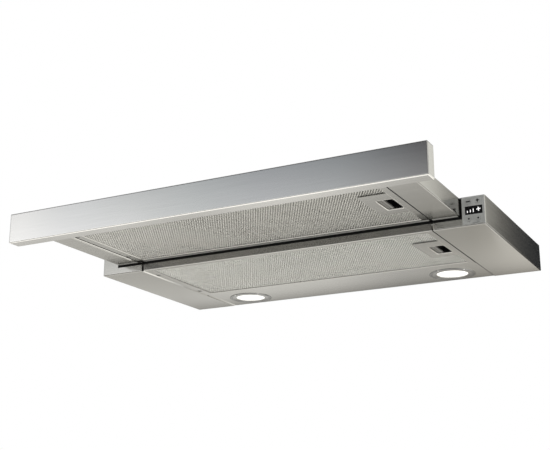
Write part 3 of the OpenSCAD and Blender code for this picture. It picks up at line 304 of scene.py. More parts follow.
def metal(name, colour, roughness, streaks=0.16, clouds=0.12, brushed=0.0, bump=0.0,
          front_painted_shade=1.0, fold=1.0):
    """Bare metal with brushing: the group's shade multiplies the colour, its polish moves the roughness.
    The faces to the front get a painted shade, a share of the colour, and the bends to the underside the
    share fold of it: above 1 a painted highlight, below 1 a painted shade."""
    m, t, p = new_material(name)
    p.inputs["Metallic"].default_value = 1.0
    g = shader(t, "ShaderNodeGroup", {"node_tree": brushing}, Streak=streaks, Cloud=clouds).outputs
    shade = g["Shade"]
    # painted shade on the faces to the front
    if front_painted_shade < 1:
        shade = sums(t, "MULTIPLY", shade, scale(t, facing(t, 1), -0.9, -0.6, front_painted_shade, 1.0))
    # painted highlight or painted shade on the bends to the underside
    if fold != 1:
        down = facing(t, 2)
        bent = sums(t, "MULTIPLY", scale(t, down, -0.2, -0.4), scale(t, down, -0.985, -0.92))
        shade = sums(t, "MULTIPLY", shade, scale(t, bent, 0.0, 1.0, 1.0, fold))
    t.links.new(dimmed(t, colour, shade), p.inputs["Base Color"])
    gloss = sums(t, "ADD", roughness, sums(t, "MULTIPLY", g["Polish"], 0.5), clamp=True)
    t.links.new(gloss, p.inputs["Roughness"])
    if brushed:
        p.inputs["Anisotropic"].default_value = brushed
        p.inputs["Anisotropic Rotation"].default_value = 0.25
        sideways = sums(t, "GREATER_THAN", sums(t, "ABSOLUTE", facing(t, 0)), 0.7)
        grain = shader(t, "ShaderNodeMix", {"data_type": "VECTOR"},
                       i0=sideways, i4=(1, 0, 0), i5=(0, 1, 0)).outputs[1]
        in_world = shader(t, "ShaderNodeVectorTransform", {
            "vector_type": "VECTOR", "convert_from": "OBJECT", "convert_to": "WORLD"}, i0=grain)
        t.links.new(in_world.outputs[0], p.inputs["Tangent"])
    if bump:
        raised = shader(t, "ShaderNodeBump", Height=g["Height"], Strength=bump, Distance=0.00004)
        t.links.new(raised.outputs[0], p.inputs["Normal"])
    return m


def dress(material, *names):
    """These CAD nodes keep their shape and get the material."""
    for name in names:
        data = nodes[name].data
        data.materials.clear()
        data.materials.append(material)


# the bends to the underside get a painted shade, 0.6 of the colour
panel_steel = metal("panel_steel", (0.60, 0.59, 0.56), 0.18, brushed=0.7, bump=0.12, fold=0.6)
dress(panel_steel, "left_side_panel", "right_side_panel", "lamp_panel")


# Zinc sheet. Top plate, rear panel, brackets, blower housing and the plate behind the drawer's front are
# pressed from steel sheet dipped in molten zinc, which freezes on it in large flat crystals.
def galvanised(name, colour, roughness, crystal):
    """Zinc-coated sheet: frozen zinc crystals, each with its own shade and gloss."""
    m, t, p = new_material(name)
    p.inputs["Metallic"].default_value = 1.0
    where = shader(t, "ShaderNodeTexCoord").outputs["Object"]
    warp = shader(t, "ShaderNodeTexNoise", Vector=where, Scale=crystal * 1.7, Detail=3.0).outputs[1]
    bent = vectors(t, "MULTIPLY_ADD", warp, (0.006, 0.006, 0.006), where)
    cell = shader(t, "ShaderNodeTexVoronoi", {"feature": "F1"}, Vector=bent, Scale=crystal)
    grade = shader(t, "ShaderNodeSeparateXYZ", i0=cell.outputs["Color"]).outputs
    feather = shader(t, "ShaderNodeTexNoise", Vector=where, Scale=crystal * 9, Detail=2.0).outputs[0]
    shade = sums(t, "ADD", scale(t, grade[0], 0.0, 1.0, 0.82, 1.1),
                 scale(t, feather, 0.3, 0.7, -0.06, 0.06))
    t.links.new(dimmed(t, colour, shade), p.inputs["Base Color"])
    t.links.new(scale(t, grade[1], 0.0, 1.0, roughness - 0.09, roughness + 0.09), p.inputs["Roughness"])
    return m


zinc_sheet = galvanised("zinc_sheet", (0.60, 0.61, 0.62), 0.40, 70.0)
dress(zinc_sheet, "rear_panel", "top_plate", "drawer_front_plate", "left_runner_bracket",
      "right_runner_bracket", "blower_housing")


# Slot sill, seal and seams. A steel bar closes the slot below. A black rubber seal, extruded, lies on it
# and up its sides and wipes the drawer's underside. Beside it the panels' pressed edges meet the filter.
def plain(name, colour, roughness, grain=0.08, size=220.0, bump=0.15, **extra):
    """Moulded or painted stuff: the colour and the gloss vary with a fine noise, which also raises it."""
    m, t, p = new_material(name)
    where = shader(t, "ShaderNodeTexCoord").outputs["Object"]
    fine = shader(t, "ShaderNodeTexNoise", Vector=where, Scale=size, Detail=2.0).outputs[0]
    coarse = shader(t, "ShaderNodeTexNoise", Vector=where, Scale=size / 12, Detail=1.0).outputs[0]
    shade = scale(t, sums(t, "ADD", fine, coarse), 0.6, 1.4, 1 - grain, 1 + grain)
    t.links.new(dimmed(t, colour, shade), p.inputs["Base Color"])
    t.links.new(scale(t, fine, 0.3, 0.7, roughness - 0.05, roughness + 0.05), p.inputs["Roughness"])
    if bump:
        raised = shader(t, "ShaderNodeBump", Height=fine, Strength=bump, Distance=0.0001)
        t.links.new(raised.outputs[0], p.inputs["Normal"])
    for key, value in extra.items():
        p.inputs[key.replace("_", " ")].default_value = value
    return m


seal_rubber = plain("seal_rubber", (0.006, 0.006, 0.006), 0.7, Specular_IOR_Level=0.15)
dress(seal_rubber, "slot_seal")
sill_steel = plain("sill_steel", (0.86, 0.86, 0.84), 0.4, grain=0.1, size=500.0, Metallic=0.15)
dress(sill_steel, "slot_sill")
# the folds are lighter than the sheet they are bent from: a painted highlight on the bends
fold_highlight_steel = metal("fold_highlight_steel", (0.72, 0.71, 0.68), 0.18)


def box_section(x0, x1, y0, y1, z0, z1, slope=0.0):
    """Eight corners and six faces of a bar, whose underside rises by slope from its left to its right."""
    corners = [(x, y, z) for z in (0, 1) for y in (y0, y1) for x in (x0, x1)]
    points = [(x, y, z1 if z else z0 + (slope if x == x1 else 0.0)) for x, y, z in corners]
    return points, [[0, 2, 3, 1], [4, 5, 7, 6], [0, 1, 5, 4], [2, 6, 7, 3], [0, 4, 6, 2], [1, 3, 7, 5]]


def solid(name, points, faces, material, body, slot_name, smooth=False, weld=False):
    """A piece from arrays of points and faces, which rides on a body and takes the material; slot_name is
    not used. Weld joins the points that fall together at a pole. A surface whose volume, the sum of the
    wedges from the origin to its faces, comes out negative is turned outward."""
    mesh = bpy.data.meshes.new(name)
    faces = faces if isinstance(faces, list) else faces.tolist()
    mesh.from_pydata(np.asarray(points).tolist(), [], faces)
    bm = bmesh.new()
    bm.from_mesh(mesh)
    if weld:
        bmesh.ops.remove_doubles(bm, verts=bm.verts, dist=1e-6)
    if bm.calc_volume(signed=True) < 0:
        bmesh.ops.reverse_faces(bm, faces=bm.faces)
    bm.to_mesh(mesh)
    bm.free()
    mesh.polygons.foreach_set("use_smooth", np.full(len(mesh.polygons), smooth))
    if smooth:
        mesh.set_sharp_from_angle(angle=math.radians(50))
    mesh.materials.append(material)
    ob = bpy.data.objects.new(name, mesh)
    scene.collection.objects.link(ob)
    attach(ob, body)
    return ob


def prism(one, other):
    """Points and faces of a bar between two equal outlines, its ends."""
    n = len(one)
    sides = [[k, (k + 1) % n, (k + 1) % n + n, k + n] for k in range(n)]
    return [*one, *other], sides + [list(range(n))[::-1], list(range(n, 2 * n))]


seal_lo, seal_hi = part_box("slot_seal")
lamp_lo, lamp_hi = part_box("lamp_panel")
frame_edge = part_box("canopy_filter_frame")[0].x
panel_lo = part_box("left_side_panel")[0]
panel_edge, canopy_front, panel_under = lamp_lo.x, panel_lo.y, panel_lo.z
# seam: the gap left of the lamp panel; hair: what keeps two faces out of one plane
seam, hair = 0.0019, 0.0001
# the seal's end tab closes the seam left of the filter, flush with the front
tab = box_section(panel_edge - 0.0012, frame_edge + 0.0004, canopy_front - hair,
                  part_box("slot_sill")[0].y, panel_under + 2 * hair, seal_lo.z + 2 * hair)
solid("seal_tab", *tab, seal_rubber, "canopy", "seal_rubber")
# the side panel's edge slopes up to the filter, and the lamp panel's edge up from the seam behind it
side_edge = box_section(panel_edge - seam, frame_edge - 0.0008, canopy_front + 0.004,
                        lamp_lo.y - 0.0006, panel_under - hair, panel_under + 0.0018, 0.0013)
solid("left_seam_fold", *side_edge, fold_highlight_steel, "canopy", "panel_steel")
lamp_edge = box_section(panel_edge, panel_edge + 0.0022, lamp_lo.y + 0.0004, lamp_hi.y,
                        panel_under, panel_under + 0.0014, 0.0011)
solid("lamp_panel_fold", *lamp_edge, fold_highlight_steel, "canopy", "panel_steel")
# a strip of the seal's black rubber in the seam beside the lamp panel is a painted shade of the gap
strip = box_section(panel_edge - seam, panel_edge - hair, lamp_lo.y, lamp_hi.y,
                    panel_under + 0.0004, panel_under + 0.0014)
solid("lamp_seam_shade", *strip, seal_rubber, "canopy", "seal_rubber")
# the seal's lip leans out of the slot and touches the drawer's underside
lip = [(0.0014, 0.0005), (0.0003, 0.0008), (-0.0002, 0.0014), (-0.0002, 0.0031), (0.0002, 0.0034),
       (0.0014, 0.0034)]
lip_ends = [[(x, canopy_front + a, seal_lo.z + b) for a, b in lip]
            for x in (seal_lo.x + 2 * hair, seal_hi.x - 2 * hair)]
solid("seal_lip", *prism(*lip_ends), seal_rubber, "canopy", "seal_rubber")


# Lamps. Two round lamps sit in the rear panel: a satin chromium ring, a frosted lens that is lit, and
# behind it the light plate with its ribbed heat sink.
def turned(profile, centre, count=96):
    """Points and faces of a turned piece. The profile is a closed row of points (radius r, height h), and
    each goes round the centre in count equal steps: (r cos a, r sin a, h) at the angles a."""
    r, h = np.asarray(profile, float).T[:, :, None]
    a = np.arange(count) * 2 * math.pi / count
    points = np.empty((len(r), count, 3))
    points[..., 0] = r * np.cos(a)
    points[..., 1] = r * np.sin(a)
    points[..., 2] = h
    k, j = np.mgrid[0:len(r), 0:count]
    k2, j2 = (k + 1) % len(r), (j + 1) % count
    faces = np.stack([k * count + j, k * count + j2, k2 * count + j2, k2 * count + j], 2).reshape(-1, 4)
    return points.reshape(-1, 3) + np.asarray(centre), faces


def arc(middle, radius, start, stop, steps=6):
    """Points of a circle's arc between two angles in degrees."""
    a = np.radians(np.linspace(start, stop, steps + 1))
    return [(middle[0] + radius * math.cos(t), middle[1] + radius * math.sin(t)) for t in a]


lamp_chrome = metal("lamp_chrome", (0.46, 0.455, 0.445), 0.2, streaks=0.03, clouds=0.04)
trim_chrome = metal("trim_chrome", (0.32, 0.32, 0.315), 0.16, streaks=0.03, clouds=0.04)
clip_chrome = metal("clip_chrome", (0.92, 0.92, 0.91), 0.12, streaks=0.02, clouds=0.02)
lamp_lens = plain("lamp_lens", (0.93, 0.93, 0.90), 0.35, grain=0.01,
                  Emission_Color=(1.0, 0.99, 0.96, 1), Emission_Strength=0.9)
clip_drop = 0.0004
for which in ("left_lamp", "right_lamp"):
    lo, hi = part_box(which + "_ring")
    # the ring is set higher by the clips' drop, so that they are the lowest points
    mid = ((lo.x + hi.x) / 2, (lo.y + hi.y) / 2, lo.z + clip_drop)
    edge = (hi.x - lo.x) / 2
    lens_lo, lens_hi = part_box(which + "_lens")
    lens_r = (lens_hi.x - lens_lo.x) / 2 - 0.0028
    wall_r = lens_r + 0.0024
    seat_z, top = lens_lo.z - mid[2] - 0.0001, hi.z - mid[2]
    band, neck, flange = edge - 0.0042, edge - 0.0060, 0.0024
    # from the satin band over the rolled inner edge up to the lens, and back outside
    section = ([(band, 0.0004), (wall_r, 0.0002)] + arc((lens_r + 0.0010, 0.0011), 0.0010, 290, 180, 6)
               + [(lens_r, seat_z), (wall_r, seat_z), (wall_r, top)]
               + [(neck, top), (neck, flange), (band, flange)])
    ring = solid(which + "_bezel", *turned(section, mid), lamp_chrome, "canopy", "lamp_chrome", smooth=True)
    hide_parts(which + "_ring")
    # the darker polished bead round it
    bead = ([(band, flange), (band, 0.0005)] + arc((band + 0.0007, 0.0006), 0.0006, 200, 270, 4)
            + arc((edge - 0.0012, 0.0012), 0.0012, 270, 360, 6) + [(edge, flange)])
    solid(which + "_trim", *turned(bead[::-1], mid), trim_chrome, "canopy", "lamp_chrome", smooth=True)
    # two round clips hold the ring, at angles in degrees from the right
    clip_r = edge - 0.0016
    dome = [(0.0, -clip_drop)] + arc((0.0, 0.0012), 0.0016, 280, 350, 6) + [(0.0015, 0.0011), (0.0, 0.0011)]
    for place, angle in (("right", -41), ("left", -111)):
        t = math.radians(angle)
        clip_at = (mid[0] + clip_r * math.cos(t), mid[1] + clip_r * math.sin(t), mid[2])
        solid(which + "_clip_" + place, *turned(dome[::-1], clip_at, 16), clip_chrome, "canopy",
              "lamp_chrome", smooth=True, weld=True)
    # the lens: flat in the middle, it curves up to its rim as the fourth power of the radius
    crown = [(0.0, 0.0003)] + [(lens_r * t, 0.0003 + 0.0009 * t ** 4) for t in np.linspace(0.15, 0.97, 9)]
    glass = crown + [(lens_r + 0.002, 0.0014), (lens_r + 0.002, 0.0032), (0.0, 0.0032)]
    lens = solid(which + "_glass", *turned(glass, (mid[0], mid[1], lens_lo.z - 0.0013)), lamp_lens,
                 "canopy", "lamp_lens", smooth=True, weld=True)
    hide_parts(which + "_lens")
heat_sink = plain("heat_sink", (0.10, 0.10, 0.105), 0.4, Metallic=0.6)
dress(heat_sink, "left_lamp_module", "right_lamp_module")


# Controls. A plain face plate in the right cheek with a black display and four round push keys, two
# above it and two below it, in front of their board.
control_face = plain("control_face", (0.46, 0.465, 0.45), 0.45, grain=0.22, size=900.0, Metallic=0.2)
dress(control_face, "control_panel")
key_metal = plain("key_metal", (0.44, 0.445, 0.43), 0.45, grain=0.15, size=900.0, Metallic=0.2)
dress(key_metal, "upper_left_key", "upper_right_key", "lower_left_key", "lower_right_key")


def rounded_loop(lo, hi, r):
    """The outline of a rectangle with rounded corners, anticlockwise from its rear right corner."""
    x0, y0, x1, y1 = lo[0] + r, lo[1] + r, hi[0] - r, hi[1] - r
    return (arc((x1, y1), r, 0, 90, 5) + arc((x0, y1), r, 90, 180, 5)
            + arc((x0, y0), r, 180, 270, 5) + arc((x1, y0), r, 270, 360, 5))


# the foil that frames the plate and carries its finish to the bend of the cheek
cheek_lo, cheek_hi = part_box("right_side_panel")
face_lo, face_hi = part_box("control_panel")
foil = 0.00012
inner = rounded_loop((face_lo.x + 0.0018, face_lo.z + 0.0003), (face_hi.x - 0.0018, face_hi.z - 0.0012),
                     0.0014)
outer = rounded_loop((face_lo.x - 0.0016, face_lo.z), (cheek_hi.x - 0.0012, face_hi.z + 0.0009), 0.0006)
# four loops, outer and inner, at the foil's back and its front, are joined in turn
points = [(x, cheek_lo.y - depth, z)
          for loop, depth in ((outer, 0), (outer, foil), (inner, foil), (inner, 0)) for x, z in loop]
k, j = np.mgrid[0:4, 0:len(outer)]
j2, n = (j + 1) % len(outer), len(outer)
faces = np.stack([k * n + j, k * n + j2, (k + 1) % 4 * n + j2, (k + 1) % 4 * n + j], 2).reshape(-1, 4)
solid("control_foil", points, faces, control_face, "canopy", "control_face")
display_black = plain("display_black", (0.004, 0.004, 0.0045), 0.25, bump=0.0)
dress(display_black, "display_window")
board_green = plain("board_green", (0.02, 0.16, 0.06), 0.35)
dress(board_green, "control_board")
display_white = plain("display_white", (0.9, 0.9, 0.9), 0.5, bump=0.0,
                      Emission_Color=(1, 1, 1, 1), Emission_Strength=0.7)
key_print = plain("key_print", (0.03, 0.03, 0.03), 0.5, bump=0.0)


def printed(name, rows, y, material, body, slot_name):
    """Flat marks of printed film on a front face. Each row holds a mark's outline as two equal rows of
    points (x, z), its one side and its other side, and the mark is the strip between them."""
    points, faces, film = [], [], 0.00006
    for one, other in rows:
        n = len(one)
        both = np.concatenate([one, other])
        start = len(points)
        for depth in (0.0, film):
            points += [(x, y - depth, z) for x, z in both]
        i = np.arange(n - 1)
        back = np.stack([i, i + 1, i + 1 + n, i + n], 1)
        loop = np.concatenate([np.arange(n), np.arange(2 * n - 1, n - 1, -1)])
        wall = np.stack([loop, loop + 2 * n, np.roll(loop, -1) + 2 * n, np.roll(loop, -1)], 1)
        faces += (np.concatenate([back, back[:, ::-1] + 2 * n, wall]) + start).tolist()
    ob = solid(name, points, faces, material, body, slot_name, weld=True)
    bm = bmesh.new()
    bm.from_mesh(ob.data)
    bmesh.ops.recalc_face_normals(bm, faces=bm.faces)
    bm.to_mesh(ob.data)
    bm.free()
    return ob


def spot(centre, radius):
    """A round mark as two half circles."""
    upper = arc(centre, radius, 180, 0, 8)
    return upper, [(x, 2 * centre[1] - z) for x, z in upper]


glass_lo, glass_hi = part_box("display_window")
marks = []
# three bars on one foot line, each taller than the last, with rounded tops
foot, half = glass_lo.z + 0.0027, 0.00048
first_bar, bar_pitch, bar_heights = 0.0031, 0.0039, (0.0027, 0.0038, 0.0049)
for k, tall in enumerate(bar_heights):
    bar_x = glass_lo.x + first_bar + bar_pitch * k
    left = [(bar_x - half, foot + t * (tall - half)) for t in (0.0, 0.5, 1.0)]
    right = [(bar_x + half, foot + t * (tall - half)) for t in (0.0, 0.5, 1.0)]
    cap = arc((bar_x, foot + tall - half), half, 135, 90, 2)
    marks.append((left + cap, right + [(2 * bar_x - x, z) for x, z in cap]))
# a fan of four blades: each leaves the hub and bends round to the left as it widens
fan = (glass_hi.x - 0.0055, (glass_lo.z + glass_hi.z) / 2 + 0.0005)
root, blade, hub = 0.0004, 0.0023, 0.0007
for quarter in range(4):
    t = np.linspace(0.0, 1.0, 7)
    out = root + blade * t
    lead = math.radians(90 * quarter - 8) + 0.35 * t
    wide = math.radians(16) + math.radians(34) * np.sin(math.pi * t ** 0.8)
    marks.append([[(fan[0] + r * math.cos(g), fan[1] + r * math.sin(g))
                   for r, g in zip(out, lead + sign * wide / 2)] for sign in (1, -1)])
marks.append(spot(fan, hub))
printed("display_icons", marks, glass_lo.y, display_white, "canopy", "white_plastic")

# the keys' marks: a bowl, a lozenge on a stem, and two round spots
key_at = {}
for key in ("upper_left_key", "upper_right_key", "lower_left_key", "lower_right_key"):
    lo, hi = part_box(key)
    key_at[key] = ((lo.x + hi.x) / 2, (lo.z + hi.z) / 2, lo.y)
x, z, y = key_at["upper_left_key"]
half, thick = 0.0027, 0.0009
bowl = [[(x + a, z + 0.0002 + 40 * a * a + side * thick) for a in np.linspace(-half, half, 9)]
        for side in (1, -1)]
printed("upper_left_key_mark", [bowl], y, key_print, "upper_left_key", "latch_black")
x, z, y = key_at["upper_right_key"]
half, stem_half, stem_len = 0.0021, 0.0004, 0.0018
lozenge = [[(x + a, z + 0.0008 + side * (half - abs(a) * 0.9)) for a in np.linspace(-half, half, 5)]
           for side in (1, -1)]
stem = [[(x + side * stem_half, z - 0.0006 - b) for b in (0.0, stem_len)] for side in (1, -1)]
printed("upper_right_key_mark", [lozenge, stem], y, key_print, "upper_right_key", "latch_black")
for key in ("lower_left_key", "lower_right_key"):
    x, z, y = key_at[key]
    printed(key + "_mark", [spot((x, z), 0.0013)], y, key_print, key, "latch_black")
# a thin curved line below them
half, thick = 0.0045, 0.0002
line = [[(glass_lo.x + 0.0138 + a, face_lo.z + 0.0016 + 25 * a * a + side * thick)
         for a in np.linspace(-half, half, 9)] for side in (1, -1)]
printed("control_panel_line", [line], face_lo.y, key_print, "canopy", "latch_black")


# Drawer switch, under the top plate behind the drawer: a moulded black plastic case, and a lever cut from
# spring steel that the drawer pushes when it is shut.
black_plastic = plain("black_plastic", (0.034, 0.034, 0.036), 0.42, grain=0.15, bump=0.25)
dress(black_plastic, "drawer_switch")
screw_steel = metal("screw_steel", (0.62, 0.62, 0.60), 0.3, streaks=0.05)
dress(screw_steel, "switch_lever")


# Screws, pan heads with a cross recess: nine hold the blower housing and the terminal lid, and four the
# duct collar. Zinc-plated steel, cold headed, so the top is a shallow dome.
def screw_heads(name, node, places, radius, height):
    """Heads on a polar grid: height (1 - 0.75 s^4) at the share s of the radius, and 0.55 of the height
    less within the cross, whose arms are 0.55 of the radius long and 0.13 wide to each side."""
    rings, count = 12, 32
    share = np.linspace(0.0, 1.0, rings)[:, None]
    a = np.arange(count) * 2 * math.pi / count
    x, y = share * np.cos(a), share * np.sin(a)
    rise = height * (1 - 0.75 * share ** 4) + 0 * a
    cross = (np.minimum(np.abs(x), np.abs(y)) < 0.13) & (np.maximum(np.abs(x), np.abs(y)) < 0.55)
    rise = np.where(cross, rise - 0.55 * height, rise)
    local = np.stack([x * radius, y * radius, rise], 2)
    under = np.stack([x[-1] * radius, y[-1] * radius, 0 * a], 1)[None]
    foot = np.repeat(np.zeros((1, 1, 3)), count, 1)
    local = np.concatenate([local, under, foot])
    k, j = np.mgrid[0:len(local) - 1, 0:count]
    j2 = (j + 1) % count
    quad = np.stack([k * count + j, (k + 1) * count + j, (k + 1) * count + j2, k * count + j2], 2)
    one, quad = local.reshape(-1, 3), quad.reshape(-1, 4)
    points = np.concatenate([one + np.asarray(c) for c in places])
    faces = np.concatenate([quad + k * len(one) for k in range(len(places))])
    heads = solid(name, points, faces, screw_steel, "canopy", "screw_steel", weld=True)
    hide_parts(node)


lo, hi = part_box("housing_screws")
head_r, head_h = 0.0036, 0.0022
# three along each side of the housing's flange, two along its front, and the lid's one
side_rows, front_columns, lid_screw = (-0.0504, 0.035, 0.120409), (-0.075, 0.075), (-0.1875, 0.119)
places = [(x, y, lo.z) for x in (-(hi.x - head_r), hi.x - head_r) for y in side_rows]
places += [(x, lo.y + head_r, lo.z) for x in front_columns] + [(*lid_screw, hi.z - head_h)]
screw_heads("housing_screw_heads", "housing_screws", places, head_r, head_h)
lo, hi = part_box("collar_screws")
head_r, head_h = 0.0028, 0.0018
places = [(x, y, lo.z) for x in (lo.x + head_r, hi.x - head_r) for y in (lo.y + head_r, hi.y - head_r)]
screw_heads("collar_screw_heads", "collar_screws", places, head_r, head_h)


# Runners. Each side has three rails one in the other, rolled from strip with a bright zinc coat, which
# leaves a faint grain along them.
rail_steel = metal("rail_steel", (0.64, 0.65, 0.66), 0.3, brushed=0.4)
dress(rail_steel, *[s + r for s in ("left_", "right_") for r in ("fixed_rail", "middle_rail", "drawer_rail")])


# Drawer. Its frame and cover are folded from the panels' brushed stainless sheet. The front is a deeper
# fold of finer sheet, with a painted highlight on its bends to the underside.
dress(panel_steel, "drawer_frame", "drawer_cover")
front_steel = metal("front_steel", (0.62, 0.61, 0.59), 0.20, brushed=0.7, bump=0.1, fold=1.5)
dress(front_steel, "drawer_front")


# Grease filters. Each one is a C-shaped frame of steel round layers of expanded aluminium: sheet that is
# slit and pulled open, so that its strands lie tilted between diamond openings.
# the frames' faces to the front get a painted shade, 0.52 of the colour
filter_steel = metal("filter_steel", (0.60, 0.59, 0.56), 0.18, brushed=0.7, bump=0.1, front_painted_shade=0.52)
dress(filter_steel, "drawer_filter_frame", "canopy_filter_frame")
drawer_aluminium = metal("drawer_aluminium", (0.87, 0.86, 0.82), 0.28, streaks=0.1, clouds=0.2)
canopy_aluminium = metal("canopy_aluminium", (0.90, 0.90, 0.86), 0.28, streaks=0.1, clouds=0.2)
# the inner layers' aluminium is painted near black, a painted shade of the filter's inside
painted_shade_aluminium = metal("painted_shade_aluminium", (0.07, 0.07, 0.065), 0.5, streaks=0.1, clouds=0.3)


def expanded_sheet(name, lo, hi, keep_out, cell, z, opening, gauge, sink, material, body):
    """A closed lattice of strands of rhombic section. Diamond openings stand on a grid with every second
    row shifted by half a cell, and neighbours share the strand between them. A strand's ridges run from
    corner to corner at z - gauge and z + gauge, and its edges lie at z, at a share of the way to the
    opening's middle. The strands that run to the right and back are slit thinner and dip by sink."""
    a, b = cell[0] / 4, cell[1] / 4
    nx = int((hi[0] - lo[0]) / cell[0] - 0.5)
    ny = int((hi[1] - lo[1]) / cell[1] * 2) - 1
    x0 = (lo[0] + hi[0]) / 2 - (2 * nx + 1) * a
    y0 = (lo[1] + hi[1]) / 2 - (ny + 1) * b
    row, place = np.mgrid[0:ny, 0:nx].reshape(2, -1)
    cx, cy = 4 * place + 2 * (row % 2) + 2, 2 * row + 2
    # no opening reaches into the rectangle that is kept out
    (kx0, ky0), (kx1, ky1) = keep_out
    px, py = x0 + a * cx, y0 + b * cy
    clear = (px + 2 * a < kx0) | (px - 2 * a > kx1) | (py + 2 * b < ky0) | (py - 2 * b > ky1)
    cx, cy = cx[clear], cy[clear]
    n = len(cx)
    # the corners in turn: left, front, middle of the thin strand, right, rear, middle of the thin strand
    step = np.array([(-2, 0), (0, -2), (1, -1), (2, 0), (0, 2), (-1, 1)])
    thin = 1.16
    share = np.array([1, 1, thin, 1, 1, thin]) * opening
    dip = np.array([0, 0, 1, 0, 0, 1]) * sink
    # a corner's number is its row times a stride, longer than any row, plus its place in the row
    stride = 9999
    key = (cy[:, None] + step[:, 1]) * stride + cx[:, None] + step[:, 0]
    used, corner = np.unique(key, return_inverse=True)
    corner = corner.reshape(n, 6)
    kx, ky = used % stride, used // stride
    fall = np.where((kx % 2 == 1), sink, 0.0)
    ridge = np.column_stack([x0 + a * kx, y0 + b * ky, z + fall])
    inner = np.empty((n, 6, 3))
    inner[..., 0] = x0 + a * (cx[:, None] + step[:, 0] * share)
    inner[..., 1] = y0 + b * (cy[:, None] + step[:, 1] * share)
    inner[..., 2] = z + dip
    m = len(used)
    points = np.concatenate([ridge - (0, 0, gauge), ridge + (0, 0, gauge), inner.reshape(-1, 3)])
    own = 2 * m + np.arange(6 * n).reshape(n, 6)
    nxt = [1, 2, 3, 4, 5, 0]
    ring = np.stack([corner, corner[:, nxt], own[:, nxt], own], 2).reshape(-1, 4)
    upper = ring + np.array([m, m, 0, 0])
    # a strand with no neighbour gets a wall on its outer side
    e = ring[:, :2]
    lone = ~np.isin(e[:, 0] * m + e[:, 1], e[:, 1] * m + e[:, 0])
    rim = np.stack([e[lone, 0], e[lone, 1], e[lone, 1] + m, e[lone, 0] + m], 1)
    return solid(name, points, np.concatenate([ring[:, ::-1], upper, rim]), material, body,
                 "filter_aluminium")


def swept(path, profile):
    """Points and faces of a profile carried round a flat closed path with mitred corners. The profile is
    a closed row of points (outward, up) and the path runs anticlockwise seen from above."""
    path = np.asarray(path, float)
    u, v = path - np.roll(path, 1, 0), np.roll(path, -1, 0) - path
    u /= np.linalg.norm(u, axis=1)[:, None]
    v /= np.linalg.norm(v, axis=1)[:, None]
    out = np.stack([u[:, 1] + v[:, 1], -u[:, 0] - v[:, 0]], 1) / (1 + (u * v).sum(1))[:, None]
    profile = np.asarray(profile, float)
    m, n = len(path), len(profile)
    points = np.empty((m, n, 3))
    points[..., :2] = path[:, None] + out[:, None] * profile[None, :, :1]
    points[..., 2] = profile[:, 1]
    i, j = np.mgrid[0:m, 0:n]
    i2, j2 = (i + 1) % m, (j + 1) % n
    faces = np.stack([i * n + j, i2 * n + j, i2 * n + j2, i * n + j2], 2).reshape(-1, 4)
    return points.reshape(-1, 3), faces


# half a strand's thickness, the frame's lap over the mesh, and the cells of the three layers
gauge, seat = 0.0004, 0.003
face_cell, core_cell, back_cell = (0.00356, 0.00637), (0.0098, 0.0064), (0.0072, 0.0128)
window_edge, window_len = 0.0019, 0.0225
for which, opening, aluminium in (("drawer", 0.75, drawer_aluminium), ("canopy", 0.73, canopy_aluminium)):
    lo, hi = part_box(which + "_filter_mesh")
    cup_lo, cup_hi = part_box(which + "_latch_cup")
    away = ((cup_lo.x - 0.0006, cup_lo.y - 0.0006), (hi.x + 0.01, cup_hi.y + 0.0006))
    body = which + "_filter"
    face = expanded_sheet(which + "_filter_face", lo[:2], hi[:2], away, face_cell,
                          lo.z + 0.0006, opening, gauge, 0.0007, aluminium, body)
    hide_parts(which + "_filter_mesh")
    for layer, cell, rise, share in (("core", core_cell, 0.0026, 0.7), ("back", back_cell, 0.0039, 0.72)):
        expanded_sheet(which + "_filter_" + layer, lo[:2], hi[:2], away, cell, lo.z + rise, share,
                       gauge, 0.0004, painted_shade_aluminium, body)
    # the frame's inner edge is rolled down and slopes up again into the opening
    under = lo.z - 0.0008
    hem = [(-0.0010, under + 0.0010), (-0.0004, under + 0.0003)] + [
        (a, under + b) for a, b in arc((0.0001, 0.0002), 0.0003, 240, 360, 4)]
    opening_loop = rounded_loop((lo.x + seat, lo.y + seat), (hi.x - seat, hi.y - seat), 0.0015)
    solid(which + "_filter_hem", *swept(opening_loop, hem), filter_steel, body, "filter_steel", smooth=True)
    # so is the edge round the latch's window
    window = rounded_loop((cup_hi.x - window_edge - window_len, cup_lo.y + window_edge),
                          (cup_hi.x - window_edge, cup_hi.y - window_edge), 0.0025)
    roll = [(-0.0006, under + 0.0006), (-0.0002, under + 0.0002)] + [
        (a, under + b) for a, b in arc((0.0005, 0.0002), 0.0004, 240, 360, 4)]
    solid(which + "_latch_rim", *swept(window, roll), filter_steel, body, "filter_steel", smooth=True)


# Drawer edges. Grey satin strips along the drawer's rear border are a painted reflection of light there.
# The left border's edge is pressed upward, and a black strip in the seam at the right is painted shade.
# painted reflection: a diffuse grey strip where the underside mirrors light
painted_reflection_strip = plain("painted_reflection_strip", (0.30, 0.30, 0.285), 0.6)
border_lo, border_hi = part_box("drawer_filter_frame")
floor_lo, floor_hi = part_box("drawer_frame")
strip_y0, strip_y1, thick = border_hi.y - 0.0060, border_hi.y - 0.0003, 0.0003
wide = strip_y1 - strip_y0
satin = [(0.0, 0.0), (0.0, -0.4 * thick), (0.0006, -thick), (wide - 0.0006, -thick), (wide, -0.4 * thick),
         (wide, 0.0)]
for name, x0, x1, z0, body in (
        ("drawer_filter_strip", border_lo.x + 0.0095, border_hi.x - 0.0015, border_lo.z, "drawer_filter"),
        ("drawer_left_strip", floor_lo.x + 0.0025, border_lo.x - 0.0035, floor_lo.z, "drawer"),
        ("drawer_right_strip", border_hi.x + 0.0035, floor_hi.x - 0.0025, floor_lo.z, "drawer")):
    ends = [[(x, strip_y0 + a, z0 + b) for a, b in satin] for x in (x0, x1)]
    solid(name, *prism(*ends), painted_reflection_strip, body, "filter_steel")
